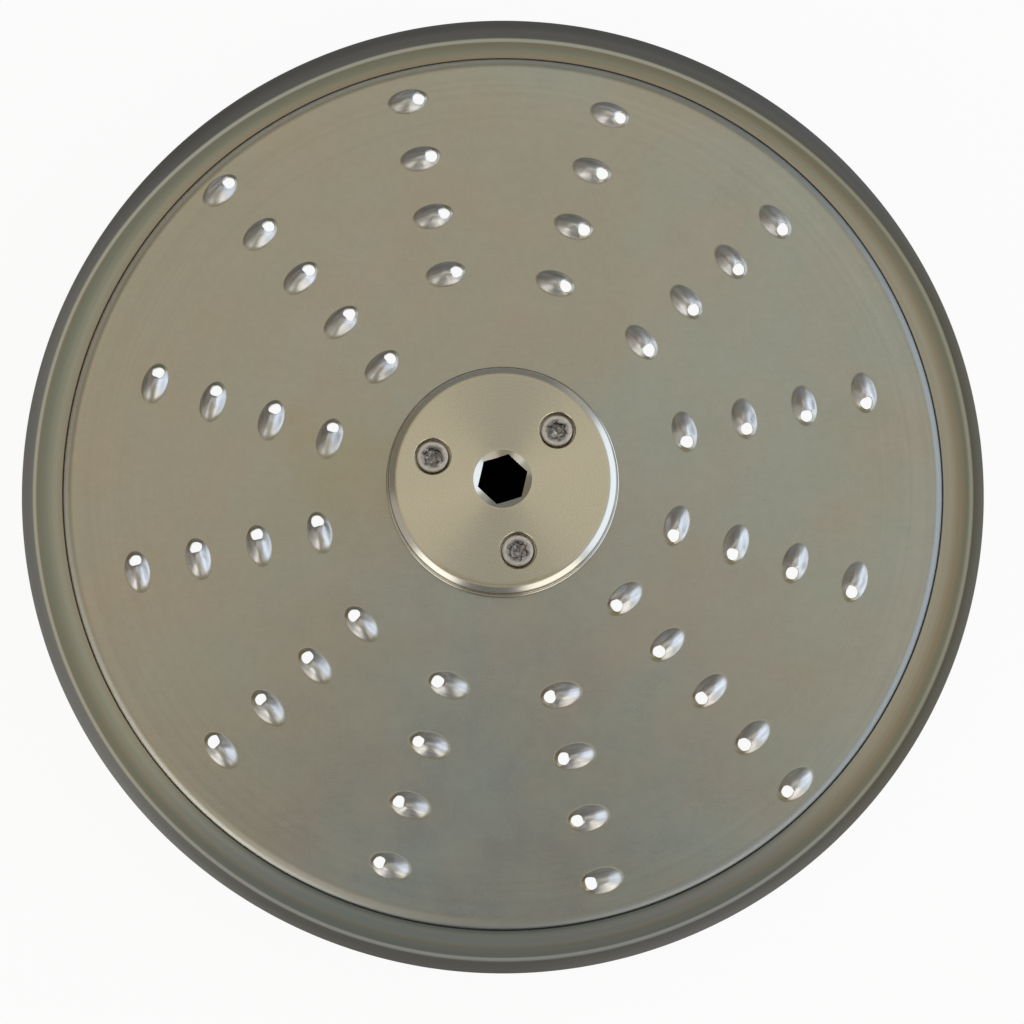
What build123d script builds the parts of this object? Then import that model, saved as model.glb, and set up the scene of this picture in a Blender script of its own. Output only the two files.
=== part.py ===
from build123d import *
import math
import os

# Grating disc of a catering food processor, in millimetres and degrees.
# It stands on its drive hub with the teeth up, centred on the Z axis with its foot at Z = 0.

# Whole disc, with the height of the plate's underside above the foot
DISC_DIAMETER = 205.0
HUB_HEIGHT = 22.0

# Rim ring: what shows from above, from the plate's edge outwards
RIM_WIDTH = 9.0
SEAM_WIDTH = 0.25
CHANNEL_DROP = 1.3
CHANNEL_SAG = 0.25
LAND_DROP = 0.9
LAND_WIDTH = 0.8
RIM_EDGE_WIDTH = 2.6
RIM_EDGE_DEPTH = 0.8
RIM_EDGE_BULGE = 0.2

# Rim ring: what is hidden below the plate
SKIRT_DEPTH = 9.0
SKIRT_WALL = 3.0
SKIRT_CHAMFER = 0.6
WEB_THICKNESS = 2.8
SPIGOT_WIDTH = 1.4
SPIGOT_HEIGHT = 0.5
SPIGOT_CLEARANCE = 0.1

# Grating plate: its edge curves over a run and a fall, and is then turned straight down
PLATE_THICKNESS = 1.0
PLATE_EDGE_RUN = 2.4
PLATE_EDGE_FALL = 1.2
PLATE_EDGE_DROP = 3.0
PLATE_INNER_BEND = 0.4

# Teeth: egg-shaped domes, each with an opening through its front end that stops at a straight lip
TOOTH_ROWS = 12
ROWS_IN_SPIRAL = 6
FIRST_ROW_ANGLE = 132.3
TOOTH_HUB_GAP = 11.0
TOOTH_PITCH = 13.1
TOOTH_EDGE_GAP = 0.05
TOOTH_LENGTH = 8.0
TOOTH_WIDTH = 4.2
TOOTH_HEIGHT = 1.7
TOOTH_WALL = 0.6
TOOTH_SETBACK = 2.3
OPENING_DIAMETER = 2.6
LIP_SETBACK = 1.1

# Hub cap
CAP_DIAMETER = 49.5
CAP_HEIGHT = 4.4
CAP_EDGE_RUN = 1.6
CAP_EDGE_FALL = 1.1
CAP_FOOT_WIDTH = 0.5
CAP_FOOT_HEIGHT = 0.9
CAP_FOOT_RADIUS = 0.4

# Six-sided drive bore, right through cap and hub
HEX_ACROSS_FLATS = 9.5
HEX_ANGLE = 17.0
LEAD_IN_DIAMETER = 12.4
LEAD_IN_SLOPE = 30.0
LEAD_IN_OVERRUN = 0.2

# Drive hub below the plate
FLANGE_INSET = 1.0
FLANGE_THICKNESS = 9.0
BOSS_DIAMETER = 32.0
BOSS_CHAMFER = 1.0
HUB_SPIGOT_DIAMETER = 20.0
HUB_SPIGOT_DROP = 0.1

# Screws that clamp the plate between cap and hub
SCREW_COUNT = 3
SCREW_CIRCLE = 31.0
FIRST_SCREW_ANGLE = 42.0
SCREW_DIAMETER = 4.0
SCREW_LENGTH = 10.0
SCREW_TIP_ROOM = 1.0
THREAD_CLEARANCE = 0.03
SHANK_CLEARANCE = 0.2
HEAD_DIAMETER = 7.0
HEAD_HEIGHT = 2.8
HEAD_EDGE_RADIUS = 0.6
HEAD_CLEARANCE = 0.35
HEAD_RECESS = 0.5
DRIVE_LOBES = 6
DRIVE_DIAMETER = 3.9
DRIVE_LOBE_DIAMETER = 1.0
DRIVE_DEPTH = 1.5

# How far a cut runs past the face that it opens
CUT_OVERRUN = 1.0

# Heights and radii that follow from these sizes
PLATE_BOTTOM = HUB_HEIGHT
PLATE_TOP = PLATE_BOTTOM + PLATE_THICKNESS
PLATE_EDGE_Z = PLATE_TOP - PLATE_EDGE_DROP
CAP_TOP = PLATE_TOP + CAP_HEIGHT
LAND_Z = PLATE_TOP - LAND_DROP
RIM_EDGE_Z = LAND_Z - RIM_EDGE_DEPTH
SKIRT_Z = RIM_EDGE_Z - SKIRT_DEPTH
HEAD_SEAT_Z = CAP_TOP - HEAD_RECESS - HEAD_HEIGHT
SCREW_TIP_Z = HEAD_SEAT_Z - SCREW_LENGTH
DISC_RADIUS = DISC_DIAMETER / 2
PLATE_RADIUS = DISC_RADIUS - RIM_WIDTH
PLATE_FLAT_RADIUS = PLATE_RADIUS - PLATE_EDGE_RUN
CAP_RADIUS = CAP_DIAMETER / 2
TOOTH_FIRST_RADIUS = CAP_RADIUS + TOOTH_HUB_GAP


def turned(*outline):
    """Solid turned about the Z axis from the lines of a closed outline of radius and height."""
    edges = [edge for line in outline for edge in line.edges()]
    return revolve(Plane.XZ * make_face(edges), Axis.Z)


def upright(sketch, bottom, top):
    """Straight upright solid of a sketch between two heights."""
    return Pos(0, 0, bottom) * extrude(sketch, top - bottom)


def screw_frames():
    """Where the screws stand, one frame each."""
    for number in range(SCREW_COUNT):
        angle = FIRST_SCREW_ANGLE + number * 360 / SCREW_COUNT
        yield Rot(0, 0, angle) * Pos(SCREW_CIRCLE / 2, 0, 0)


def screw_holes(diameter, bottom, top):
    """Round holes at the screws, between two heights."""
    hole = upright(Circle(diameter / 2), bottom, top)
    return [frame * hole for frame in screw_frames()]


def drive_bore(bottom, top):
    """Six-sided bore between two heights."""
    hexagon = RegularPolygon(HEX_ACROSS_FLATS / 2, 6, major_radius=False)
    return Rot(0, 0, HEX_ANGLE) * upright(hexagon, bottom, top)


def lead_in(mouth, inwards):
    """Cone that opens the bore at a mouth; inwards is -1 down from the top, 1 up from the foot."""
    mouth_radius = LEAD_IN_DIAMETER / 2
    run = mouth_radius - HEX_ACROSS_FLATS / 2 + LEAD_IN_OVERRUN
    bottom = mouth + inwards * run * math.tan(math.radians(LEAD_IN_SLOPE))
    corners = [(0, mouth), (mouth_radius, mouth), (mouth_radius - run, bottom), (0, bottom)]
    return turned(Polyline(corners, close=True))


def tooth_frames():
    """Where the openings are: each frame's X runs back along its dome.

    The rows are radial. From one row to the next, clockwise, the teeth step inwards, so that
    they lie on two spirals and every ring of food is reached.
    """
    last_radius = PLATE_FLAT_RADIUS - TOOTH_WIDTH / 2 - TOOTH_EDGE_GAP
    for row in range(TOOTH_ROWS):
        angle = FIRST_ROW_ANGLE - row * 360 / TOOTH_ROWS
        step_in = (row % ROWS_IN_SPIRAL) * TOOTH_PITCH / ROWS_IN_SPIRAL
        radius = TOOTH_FIRST_RADIUS - step_in
        if radius < TOOTH_FIRST_RADIUS:
            radius += TOOTH_PITCH
        while radius <= last_radius:
            yield Rot(0, 0, angle) * Pos(radius, 0, PLATE_TOP) * Rot(0, 0, 90)
            radius += TOOTH_PITCH


def tooth_egg(wall):
    """Egg-shaped form of a dome, drawn in by a wall, in the frame of its opening.

    It is turned about its long axis, which lies as far below the sheet's top as the dome's
    width and height ask for.
    """
    half_width = TOOTH_WIDTH / 2
    round_radius = (half_width**2 + TOOTH_HEIGHT**2) / (2 * TOOTH_HEIGHT)
    half_length = TOOTH_LENGTH / 2 * round_radius / half_width
    length = half_length - wall
    arc = EllipticalCenterArc((0, 0), length, round_radius - wall, arc_size=180)
    half_egg = make_face([*arc.edges(), *Line((-length, 0), (length, 0)).edges()])
    return Pos(TOOTH_SETBACK, 0, TOOTH_HEIGHT - round_radius) * revolve(half_egg, Axis.X)


def tooth():
    """Dome of one tooth and the cutter of its hollow and opening, in the frame of its opening."""
    span = 4 * TOOTH_LENGTH
    above = upright(Rectangle(span, span), -PLATE_THICKNESS / 2, TOOTH_HEIGHT + CUT_OVERRUN)
    lip = Pos(LIP_SETBACK + OPENING_DIAMETER, 0) * Rectangle(2 * OPENING_DIAMETER, 2 * OPENING_DIAMETER)
    window = Circle(OPENING_DIAMETER / 2) - lip
    opening = upright(window, -PLATE_THICKNESS - CUT_OVERRUN, TOOTH_HEIGHT + CUT_OVERRUN)
    return tooth_egg(0) & above, tooth_egg(TOOTH_WALL) + opening


def grating_plate():
    """Pressed sheet with raised teeth and a turned-down edge."""
    fall_z = PLATE_TOP - PLATE_EDGE_FALL
    bend_z = PLATE_BOTTOM - PLATE_INNER_BEND
    inner_radius = PLATE_RADIUS - PLATE_THICKNESS
    bend_radius = inner_radius - PLATE_INNER_BEND
    hole_radius = HUB_SPIGOT_DIAMETER / 2 + SPIGOT_CLEARANCE
    sheet = turned(
        EllipticalCenterArc((PLATE_FLAT_RADIUS, fall_z), PLATE_EDGE_RUN, PLATE_EDGE_FALL, arc_size=90),
        Polyline(
            (PLATE_RADIUS, fall_z),
            (PLATE_RADIUS, PLATE_EDGE_Z),
            (inner_radius, PLATE_EDGE_Z),
            (inner_radius, bend_z),
        ),
        CenterArc((bend_radius, bend_z), PLATE_INNER_BEND, 0, 90),
        Polyline(
            (bend_radius, PLATE_BOTTOM),
            (hole_radius, PLATE_BOTTOM),
            (hole_radius, PLATE_TOP),
            (PLATE_FLAT_RADIUS, PLATE_TOP),
        ),
    )
    dome, cutter = tooth()
    frames = list(tooth_frames())
    sheet += [frame * dome for frame in frames]
    sheet -= [frame * cutter for frame in frames]
    shank_hole = SCREW_DIAMETER + 2 * SHANK_CLEARANCE
    return sheet - screw_holes(shank_hole, PLATE_BOTTOM - CUT_OVERRUN, PLATE_TOP + CUT_OVERRUN)


def rim_ring():
    """Turned ring: the plate's edge stands in its groove, with channel, land and edge around it."""
    groove_inner = PLATE_RADIUS - PLATE_THICKNESS - SPIGOT_CLEARANCE
    spigot_inner = groove_inner - SPIGOT_WIDTH
    spigot_z = PLATE_EDGE_Z + SPIGOT_HEIGHT
    web_z = PLATE_EDGE_Z - WEB_THICKNESS
    channel_inner = PLATE_RADIUS + SEAM_WIDTH
    channel_z = PLATE_TOP - CHANNEL_DROP
    land_outer = DISC_RADIUS - RIM_EDGE_WIDTH
    land_inner = land_outer - LAND_WIDTH
    channel_low = ((channel_inner + land_inner) / 2, (channel_z + LAND_Z) / 2 - CHANNEL_SAG)
    edge_chord = math.hypot(RIM_EDGE_WIDTH, RIM_EDGE_DEPTH)
    edge_middle = (
        DISC_RADIUS - RIM_EDGE_WIDTH / 2 + RIM_EDGE_BULGE * RIM_EDGE_DEPTH / edge_chord,
        LAND_Z - RIM_EDGE_DEPTH / 2 + RIM_EDGE_BULGE * RIM_EDGE_WIDTH / edge_chord,
    )
    skirt_inner = DISC_RADIUS - SKIRT_WALL
    return turned(
        ThreePointArc((channel_inner, channel_z), channel_low, (land_inner, LAND_Z)),
        Line((land_inner, LAND_Z), (land_outer, LAND_Z)),
        ThreePointArc((land_outer, LAND_Z), edge_middle, (DISC_RADIUS, RIM_EDGE_Z)),
        Polyline(
            (DISC_RADIUS, RIM_EDGE_Z),
            (DISC_RADIUS, SKIRT_Z + SKIRT_CHAMFER),
            (DISC_RADIUS - SKIRT_CHAMFER, SKIRT_Z),
            (skirt_inner, SKIRT_Z),
            (skirt_inner, web_z),
            (spigot_inner, web_z),
            (spigot_inner, spigot_z),
            (groove_inner, spigot_z),
            (groove_inner, PLATE_EDGE_Z),
            (channel_inner, PLATE_EDGE_Z),
            (channel_inner, channel_z),
        ),
    )


def hub_cap():
    """Turned cap with a bevelled edge, a narrow foot, counterbores and the drive bore."""
    wall = CAP_RADIUS - CAP_FOOT_WIDTH
    foot_z = PLATE_TOP + CAP_FOOT_HEIGHT
    cap = turned(
        CenterArc((CAP_RADIUS - CAP_FOOT_RADIUS, foot_z - CAP_FOOT_RADIUS), CAP_FOOT_RADIUS, 0, 90),
        Polyline(
            (CAP_RADIUS - CAP_FOOT_RADIUS, foot_z),
            (wall, foot_z),
            (wall, CAP_TOP - CAP_EDGE_FALL),
            (wall - CAP_EDGE_RUN, CAP_TOP),
            (0, CAP_TOP),
            (0, PLATE_TOP),
            (CAP_RADIUS, PLATE_TOP),
            (CAP_RADIUS, foot_z - CAP_FOOT_RADIUS),
        ),
    )
    below = PLATE_TOP - CUT_OVERRUN
    above = CAP_TOP + CUT_OVERRUN
    cap -= drive_bore(below, above)
    cap -= lead_in(CAP_TOP, -1)
    cap -= screw_holes(SCREW_DIAMETER + 2 * SHANK_CLEARANCE, below, above)
    return cap - screw_holes(HEAD_DIAMETER + 2 * HEAD_CLEARANCE, HEAD_SEAT_Z, above)


def drive_hub():
    """Turned hub under the plate: flange for the screws, boss, foot and drive bore."""
    flange_radius = CAP_RADIUS - FLANGE_INSET
    flange_z = PLATE_BOTTOM - FLANGE_THICKNESS
    boss_radius = BOSS_DIAMETER / 2
    spigot_radius = HUB_SPIGOT_DIAMETER / 2
    spigot_z = PLATE_TOP - HUB_SPIGOT_DROP
    corners = [
        (0, 0),
        (boss_radius - BOSS_CHAMFER, 0),
        (boss_radius, BOSS_CHAMFER),
        (boss_radius, flange_z),
        (flange_radius - BOSS_CHAMFER, flange_z),
        (flange_radius, flange_z + BOSS_CHAMFER),
        (flange_radius, PLATE_BOTTOM),
        (spigot_radius, PLATE_BOTTOM),
        (spigot_radius, spigot_z),
        (0, spigot_z),
    ]
    hub = turned(Polyline(corners, close=True))
    hub -= drive_bore(-CUT_OVERRUN, spigot_z + CUT_OVERRUN)
    hub -= lead_in(0, 1)
    thread_hole = SCREW_DIAMETER + 2 * THREAD_CLEARANCE
    return hub - screw_holes(thread_hole, SCREW_TIP_Z - SCREW_TIP_ROOM, PLATE_TOP)


def hub_screws():
    """Screws with round-edged heads and six-lobed drives, each a solid of its own."""
    head_top = HEAD_SEAT_Z + HEAD_HEIGHT
    head_radius = HEAD_DIAMETER / 2
    shank_radius = SCREW_DIAMETER / 2
    flat_radius = head_radius - HEAD_EDGE_RADIUS
    edge_z = head_top - HEAD_EDGE_RADIUS
    screw = turned(
        CenterArc((flat_radius, edge_z), HEAD_EDGE_RADIUS, 0, 90),
        Polyline(
            (flat_radius, head_top),
            (0, head_top),
            (0, SCREW_TIP_Z),
            (shank_radius, SCREW_TIP_Z),
            (shank_radius, HEAD_SEAT_Z),
            (head_radius, HEAD_SEAT_Z),
            (head_radius, edge_z),
        ),
    )
    lobe_radius = DRIVE_LOBE_DIAMETER / 2
    lobe_circle = DRIVE_DIAMETER / 2 - lobe_radius
    drive = Circle(lobe_circle)
    for lobe in range(DRIVE_LOBES):
        drive += Rot(0, 0, lobe * 360 / DRIVE_LOBES) * Pos(lobe_circle, 0) * Circle(lobe_radius)
    screw -= upright(drive, head_top - DRIVE_DEPTH, head_top + CUT_OVERRUN)
    return Compound([frame * screw for frame in screw_frames()])


PIECES = {
    "grating_plate": grating_plate,
    "rim_ring": rim_ring,
    "hub_cap": hub_cap,
    "drive_hub": drive_hub,
    "hub_screws": hub_screws,
}

os.makedirs("parts", exist_ok=True)
for piece_name, make_piece in PIECES.items():
    export_step(make_piece(), f"parts/{piece_name}.step")
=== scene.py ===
import math
from typing import NamedTuple

import bmesh
import bpy
from mathutils import Matrix, Vector


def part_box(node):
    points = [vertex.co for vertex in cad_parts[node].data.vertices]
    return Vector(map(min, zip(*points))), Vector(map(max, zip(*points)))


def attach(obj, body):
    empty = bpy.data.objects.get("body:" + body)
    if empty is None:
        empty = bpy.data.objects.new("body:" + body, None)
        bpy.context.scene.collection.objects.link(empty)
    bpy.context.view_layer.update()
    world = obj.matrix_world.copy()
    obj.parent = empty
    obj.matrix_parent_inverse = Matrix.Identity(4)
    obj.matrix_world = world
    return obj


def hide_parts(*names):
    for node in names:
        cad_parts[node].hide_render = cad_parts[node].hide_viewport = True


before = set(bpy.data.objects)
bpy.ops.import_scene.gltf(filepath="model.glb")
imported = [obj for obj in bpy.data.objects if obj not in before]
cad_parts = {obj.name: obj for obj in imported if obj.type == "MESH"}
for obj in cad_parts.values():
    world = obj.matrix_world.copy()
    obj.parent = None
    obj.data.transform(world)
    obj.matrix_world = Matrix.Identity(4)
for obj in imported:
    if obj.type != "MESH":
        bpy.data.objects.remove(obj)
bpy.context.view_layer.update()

bl_info = {
    "name": "Grating Disc",
    "version": (1, 0, 0),
    "blender": (4, 5, 0),
    "location": "3D View > Sidebar > Grating Disc",
    "description": "Dresses the packed grating disc with fine meshes and steel finishes",
    "category": "Object",
}

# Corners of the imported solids, in metres
PLATE_LOW, PLATE_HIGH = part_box("grating_plate")
RIM_LOW, RIM_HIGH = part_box("rim_ring")
CAP_LOW, CAP_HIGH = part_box("hub_cap")
HUB_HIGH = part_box("drive_hub")[1]
SCREW_LOW, SCREW_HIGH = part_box("hub_screws")

# How finely the meshes are divided
RIM_RAYS = 480
PLATE_RAYS = 360
HOLE_RAYS = 96
CAP_RAYS = 288
SCREW_RAYS = 96
TOOTH_RAYS = 56
TOOTH_RINGS = 14
TOOTH_UNDER_RINGS = 6
ROUND_STEPS = 5
RIM_STEPS = 60
FLOOR_SIDES = 128
TENT_SIDES = 64

# Size of the uneven places in the edges of the teeth, in metres
WEAR_SIZE = 0.0022
# Rings of points over which a tooth's shine fades into the sheet
ROOT_RINGS = 3
# Where a tooth's shine starts along it and how far it takes to be full, in widths of the opening
SHINE_START = -0.35
SHINE_RUN = 0.55
# How fast a tooth's dome falls off towards its root
DOME_FULLNESS = 1.6
# Keeps a whole step of the teeth's spiral from being rounded down
STEP_SLACK = 1e-4
# How far the darkening spreads around a screw's drive, in widths of the drive
DRIVE_DARK_REACH = 0.6
# How far a held point stands from a rounding, as a share of the rounding's reach
HOLD = 0.3
# Edges that turn more than this stay sharp in the shading
SHARP_ANGLE = math.radians(38)
# Points nearer than this are one point, in metres
WELD = 2e-6


def length(name, description, default):
    """Property for a length in metres."""
    return bpy.props.FloatProperty(
        name=name, description=description, default=default, precision=5, unit="LENGTH"
    )


def angle(name, description, degrees):
    """Property for an angle, with its default in degrees."""
    return bpy.props.FloatProperty(
        name=name, description=description, default=math.radians(degrees), subtype="ANGLE"
    )


def count(name, description, default):
    """Property for a number of like things."""
    return bpy.props.IntProperty(name=name, description=description, default=default, min=1)


def share(name, description, default):
    """Property for a share between 0 and 1."""
    return bpy.props.FloatProperty(
        name=name, description=description, default=default, min=0, max=1, subtype="FACTOR"
    )


def colour(name, description, default):
    """Property for a colour, in scene linear values."""
    return bpy.props.FloatVectorProperty(
        name=name, description=description, default=default, min=0, max=1, subtype="COLOR"
    )


class PlateSettings(bpy.types.PropertyGroup):
    """Sizes of the pressed sheet and its teeth."""

    top: length("Top", "Height of the sheet's upper face", CAP_LOW.z)
    radius: length("Radius", "Radius of the turned edge", PLATE_HIGH.x)
    edge_foot: length("Edge foot", "Height that the turned edge comes down to", PLATE_LOW.z)
    thickness: length("Thickness", "Thickness of the sheet", 0.0010)
    edge_run: length("Edge run", "Width over which the edge curves down", 0.0024)
    edge_fall: length("Edge fall", "How far the edge falls in that width", 0.0012)
    inner_bend: length("Inner bend", "Radius of the bend on the underside", 0.0004)
    hole: length("Hole", "Radius of the hole at the hub", 0.0101)
    rows: count("Rows", "Rows of teeth around the disc", 12)
    rows_in_spiral: count("Rows in a spiral", "Rows over which the teeth step in by one pitch", 6)
    first_angle: angle("First row", "Angle of the first row", 132.3)
    first_radius: length("First tooth", "Radius of the innermost opening", CAP_HIGH.x + 0.0110)
    pitch: length("Pitch", "Distance between the teeth of a row", 0.0131)
    tooth_length: length("Tooth length", "Length of a dome without its root", 0.0080)
    tooth_width: length("Tooth width", "Width of a dome without its root", 0.0042)
    tooth_height: length("Tooth height", "Height of a dome", 0.0017)
    setback: length("Setback", "From the middle of an opening back to the dome's middle", 0.0023)
    root: length("Root", "Width over which a dome runs out into the sheet", 0.0006)
    margin: length("Margin", "Flat width around a root", 0.00020)
    wall: length("Wall", "Thickness of the sheet at a dome's top", 0.0006)
    opening: length("Opening", "Diameter of a tooth's opening", 0.0026)
    lip_setback: length("Lip", "From the middle of an opening back to its straight lip", 0.0011)
    lip_corner: length("Lip corner", "Rounding at the ends of the lip", 0.00025)
    lip_edge: length("Lip edge", "Width of the broken edge around an opening", 0.00008)
    wear: length("Wear", "How far the edges of a tooth stand from their true line", 0.00035)


class RimSettings(bpy.types.PropertyGroup):
    """Sizes of the turned ring around the plate."""

    radius: length("Radius", "Outer radius of the ring", RIM_HIGH.x)
    land: length("Land", "Height of the land", RIM_HIGH.z)
    foot: length("Foot", "Height of the ring's foot", RIM_LOW.z)
    seam: length("Seam", "Gap between the plate's edge and the channel", 0.00025)
    channel_drop: length("Channel drop", "How far the channel starts below the plate's top", 0.0013)
    channel_sag: length("Channel sag", "Hollow of the channel", 0.00025)
    land_width: length("Land width", "Width of the land", 0.0008)
    edge_width: length("Edge width", "Width of the rounded outer edge, seen from above", 0.0026)
    edge_depth: length("Edge depth", "Depth of the rounded outer edge", 0.0008)
    edge_bulge: length("Edge bulge", "How far the outer edge stands out of its chord", 0.0002)
    skirt: length("Skirt", "Wall of the skirt below the edge", 0.0030)
    chamfer: length("Chamfer", "Chamfer at the skirt's foot", 0.0006)
    web: length("Web", "Thickness of the web below the plate's edge", 0.0028)
    spigot: length("Spigot", "Width of the spigot inside the plate's edge", 0.0014)
    spigot_height: length("Spigot height", "How far the spigot stands over the groove", 0.0005)
    clearance: length("Clearance", "Room between the spigot and the plate", 0.0001)
    crest_blend: length("Crest blend", "How far the channel and the land run into each other", 0.0002)
    broken_edge: length("Broken edge", "Rounding of the turned corners", 0.00012)


class CapSettings(bpy.types.PropertyGroup):
    """Sizes of the hub cap and of the drive bore."""

    radius: length("Radius", "Radius of the cap's foot", CAP_HIGH.x)
    top: length("Top", "Height of the cap's upper face", CAP_HIGH.z)
    bottom: length("Bottom", "Height of the cap's lower face", CAP_LOW.z)
    edge_run: length("Edge run", "Width of the bevel around the upper face", 0.0016)
    edge_fall: length("Edge fall", "Height of that bevel", 0.0011)
    face_blend: length("Face blend", "Rounding between the bevel and the upper face", 0.0018)
    wall_blend: length("Wall blend", "Rounding between the bevel and the wall", 0.0010)
    foot_width: length("Foot width", "How far the foot stands out", 0.0005)
    foot_height: length("Foot height", "Height of the foot", 0.0009)
    foot_edge: length("Foot edge", "Rounding of the foot", 0.0004)
    across_flats: length("Across flats", "Width of the six-sided bore", 0.0095)
    bore_angle: angle("Bore angle", "Angle of a corner of the bore", 17)
    lead_in: length("Lead-in", "Diameter of the cone that opens the bore", 0.0124)
    lead_in_slope: angle("Lead-in slope", "Slope of that cone", 30)
    broken_edge: length("Broken edge", "Width of the chamfer around a counterbore", 0.00015)


class HubSettings(bpy.types.PropertyGroup):
    """Sizes of the drive hub under the plate."""

    top: length("Top", "Height of the spigot in the plate", HUB_HIGH.z)
    flange_radius: length("Flange radius", "Radius of the flange", HUB_HIGH.x)
    flange: length("Flange", "Thickness of the flange", 0.0090)
    boss: length("Boss", "Diameter of the boss", 0.0320)
    chamfer: length("Chamfer", "Chamfer of the flange and the boss", 0.0010)
    spigot: length("Spigot", "Diameter of the spigot in the plate", 0.0200)


class ScrewSettings(bpy.types.PropertyGroup):
    """Sizes of the screws that hold the cap."""

    number: count("Number", "Screws around the hub", 3)
    circle: length("Circle", "Diameter of the circle that they stand on", 0.0310)
    first_angle: angle("First screw", "Angle of the first screw", 42)
    top: length("Top", "Height of the heads", SCREW_HIGH.z)
    tip: length("Tip", "Height of the tips", SCREW_LOW.z)
    head: length("Head", "Diameter of a head", 0.0070)
    head_height: length("Head height", "Height of a head", 0.0028)
    head_edge: length("Head edge", "Rounding of a head", 0.0006)
    head_room: length("Head room", "Clearance around a head", 0.00035)
    shank: length("Shank", "Diameter of a shank", 0.0040)
    shank_room: length("Shank room", "Clearance around a shank", 0.0002)
    drive: length("Drive", "Diameter over the lobes of the drive", 0.0039)
    lobes: count("Lobes", "Lobes of the drive", 6)
    lobe_depth: share("Lobe depth", "How far the drive draws in between its lobes", 0.2)
    drive_depth: length("Drive depth", "Depth of the drive", 0.0015)


class FinishSettings(bpy.types.PropertyGroup):
    """Colours of the steel."""

    plate_warm: colour("Plate, warm", "Straw-grey parts of the sheet", (0.383, 0.357, 0.288))
    plate_cool: colour("Plate, cool", "Blue-grey parts of the sheet", (0.378, 0.374, 0.318))
    # Painted light on the sheet's turned edge: a painted highlight on the side that faces left and back,
    # painted shade on the side that faces the front.
    bend_painted_light: colour("Bend, back", "Turned edge of the sheet at the back", (0.64, 0.63, 0.58))
    bend_painted_shade: colour("Bend, front", "Turned edge of the sheet at the front", (0.31, 0.325, 0.33))
    stain: colour("Stain", "Straw stain on the sheet by the hub", (0.390, 0.338, 0.235))
    tooth: colour("Tooth", "Polished metal of the teeth", (0.56, 0.56, 0.565))
    channel: colour("Channel", "Turned metal of the channel by the plate", (0.37, 0.35, 0.28))
    channel_dull: colour("Channel, dull", "Turned metal of the channel by the land", (0.235, 0.225, 0.17))
    # The land's three colours are a painted highlight: a bright line of reflected light along the crest,
    # dimmer on the right and at the front.
    land: colour("Land", "Worn metal of the land", (0.47, 0.46, 0.40))
    land_highlight_right: colour("Land, dull", "Duller metal of the land on the right", (0.33, 0.325, 0.26))
    land_highlight_front: colour("Land, front", "Worn metal of the land at the front", (0.385, 0.387, 0.39))
    # The outer edge's three colours are painted shade, standing in for dark reflections of the
    # surroundings: lightest on the left, darker at the ends, darkest on the right.
    edge_left: colour("Edge, left", "Dull metal of the outer edge on the left", (0.285, 0.29, 0.295))
    edge_ends: colour("Edge, ends", "Outer edge at the front and the back", (0.165, 0.165, 0.165))
    edge_right: colour("Edge, right", "Dull metal of the outer edge on the right", (0.135, 0.125, 0.098))
    cap: colour("Cap", "Turned metal of the hub", (0.56, 0.505, 0.385))
    cap_edge: colour("Cap edge", "Polished metal of the cap's edge", (0.60, 0.585, 0.54))
    # Painted shade: this dark colour is laid on the bore's walls where the deep bore lies in shade.
    bore: colour("Bore", "Dirt on the walls of the bore", (0.012, 0.013, 0.011))
    screw: colour("Screw", "Metal of the screws", (0.60, 0.56, 0.53))
    # This colour darkens the screws in and around their drives.
    grime: colour("Grime", "Dirt in the screw drives", (0.11, 0.105, 0.105))
    fleck: colour("Fleck", "Bright flecks in the screw drives", (0.70, 0.66, 0.64))


class StageSettings(bpy.types.PropertyGroup):
    """Camera, floor and light."""

    distance: length("Distance", "From the camera to the middle of the plate", 0.4831)
    tilt: angle("Tilt", "How far the camera leans forward from straight above", 8.13)
    sway: angle("Sway", "How far the camera stands to the left", -0.09)
    lens: bpy.props.FloatProperty(
        name="Lens", description="Focal length in millimetres", default=79.96, unit="CAMERA"
    )
    shift_x: bpy.props.FloatProperty(
        name="Shift X", description="Sideways shift as a share of the frame", default=0.0091
    )
    shift_y: bpy.props.FloatProperty(
        name="Shift Y", description="Upward shift as a share of the frame", default=-0.0296
    )
    floor: length("Floor", "Radius of the floor", 6.0)
    tent: length("Tent", "Radius of the light tent", 2.0)
    floor_glow: share("Floor glow", "How far the floor shows plain white; the rest keeps the shadow", 0.93)
    hub_shade: length("Hub shade", "Radius of the floor that the hub covers", 0.0162)


class DiscSettings(bpy.types.PropertyGroup):
    """All settings of the disc."""

    plate: bpy.props.PointerProperty(type=PlateSettings, name="Plate", description="Sheet and teeth")
    rim: bpy.props.PointerProperty(type=RimSettings, name="Rim", description="Ring around the plate")
    cap: bpy.props.PointerProperty(type=CapSettings, name="Cap", description="Cap of the hub")
    hub: bpy.props.PointerProperty(type=HubSettings, name="Hub", description="Hub under the plate")
    screws: bpy.props.PointerProperty(type=ScrewSettings, name="Screws", description="Hub screws")
    finish: bpy.props.PointerProperty(type=FinishSettings, name="Finish", description="Colours")
    stage: bpy.props.PointerProperty(type=StageSettings, name="Stage", description="Camera and light")


class LightPanel(NamedTuple):
    """Part of the light tent between two azimuths and two elevations, in degrees."""

    azimuths: tuple
    elevations: tuple
    soft: float
    colour: tuple


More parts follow.
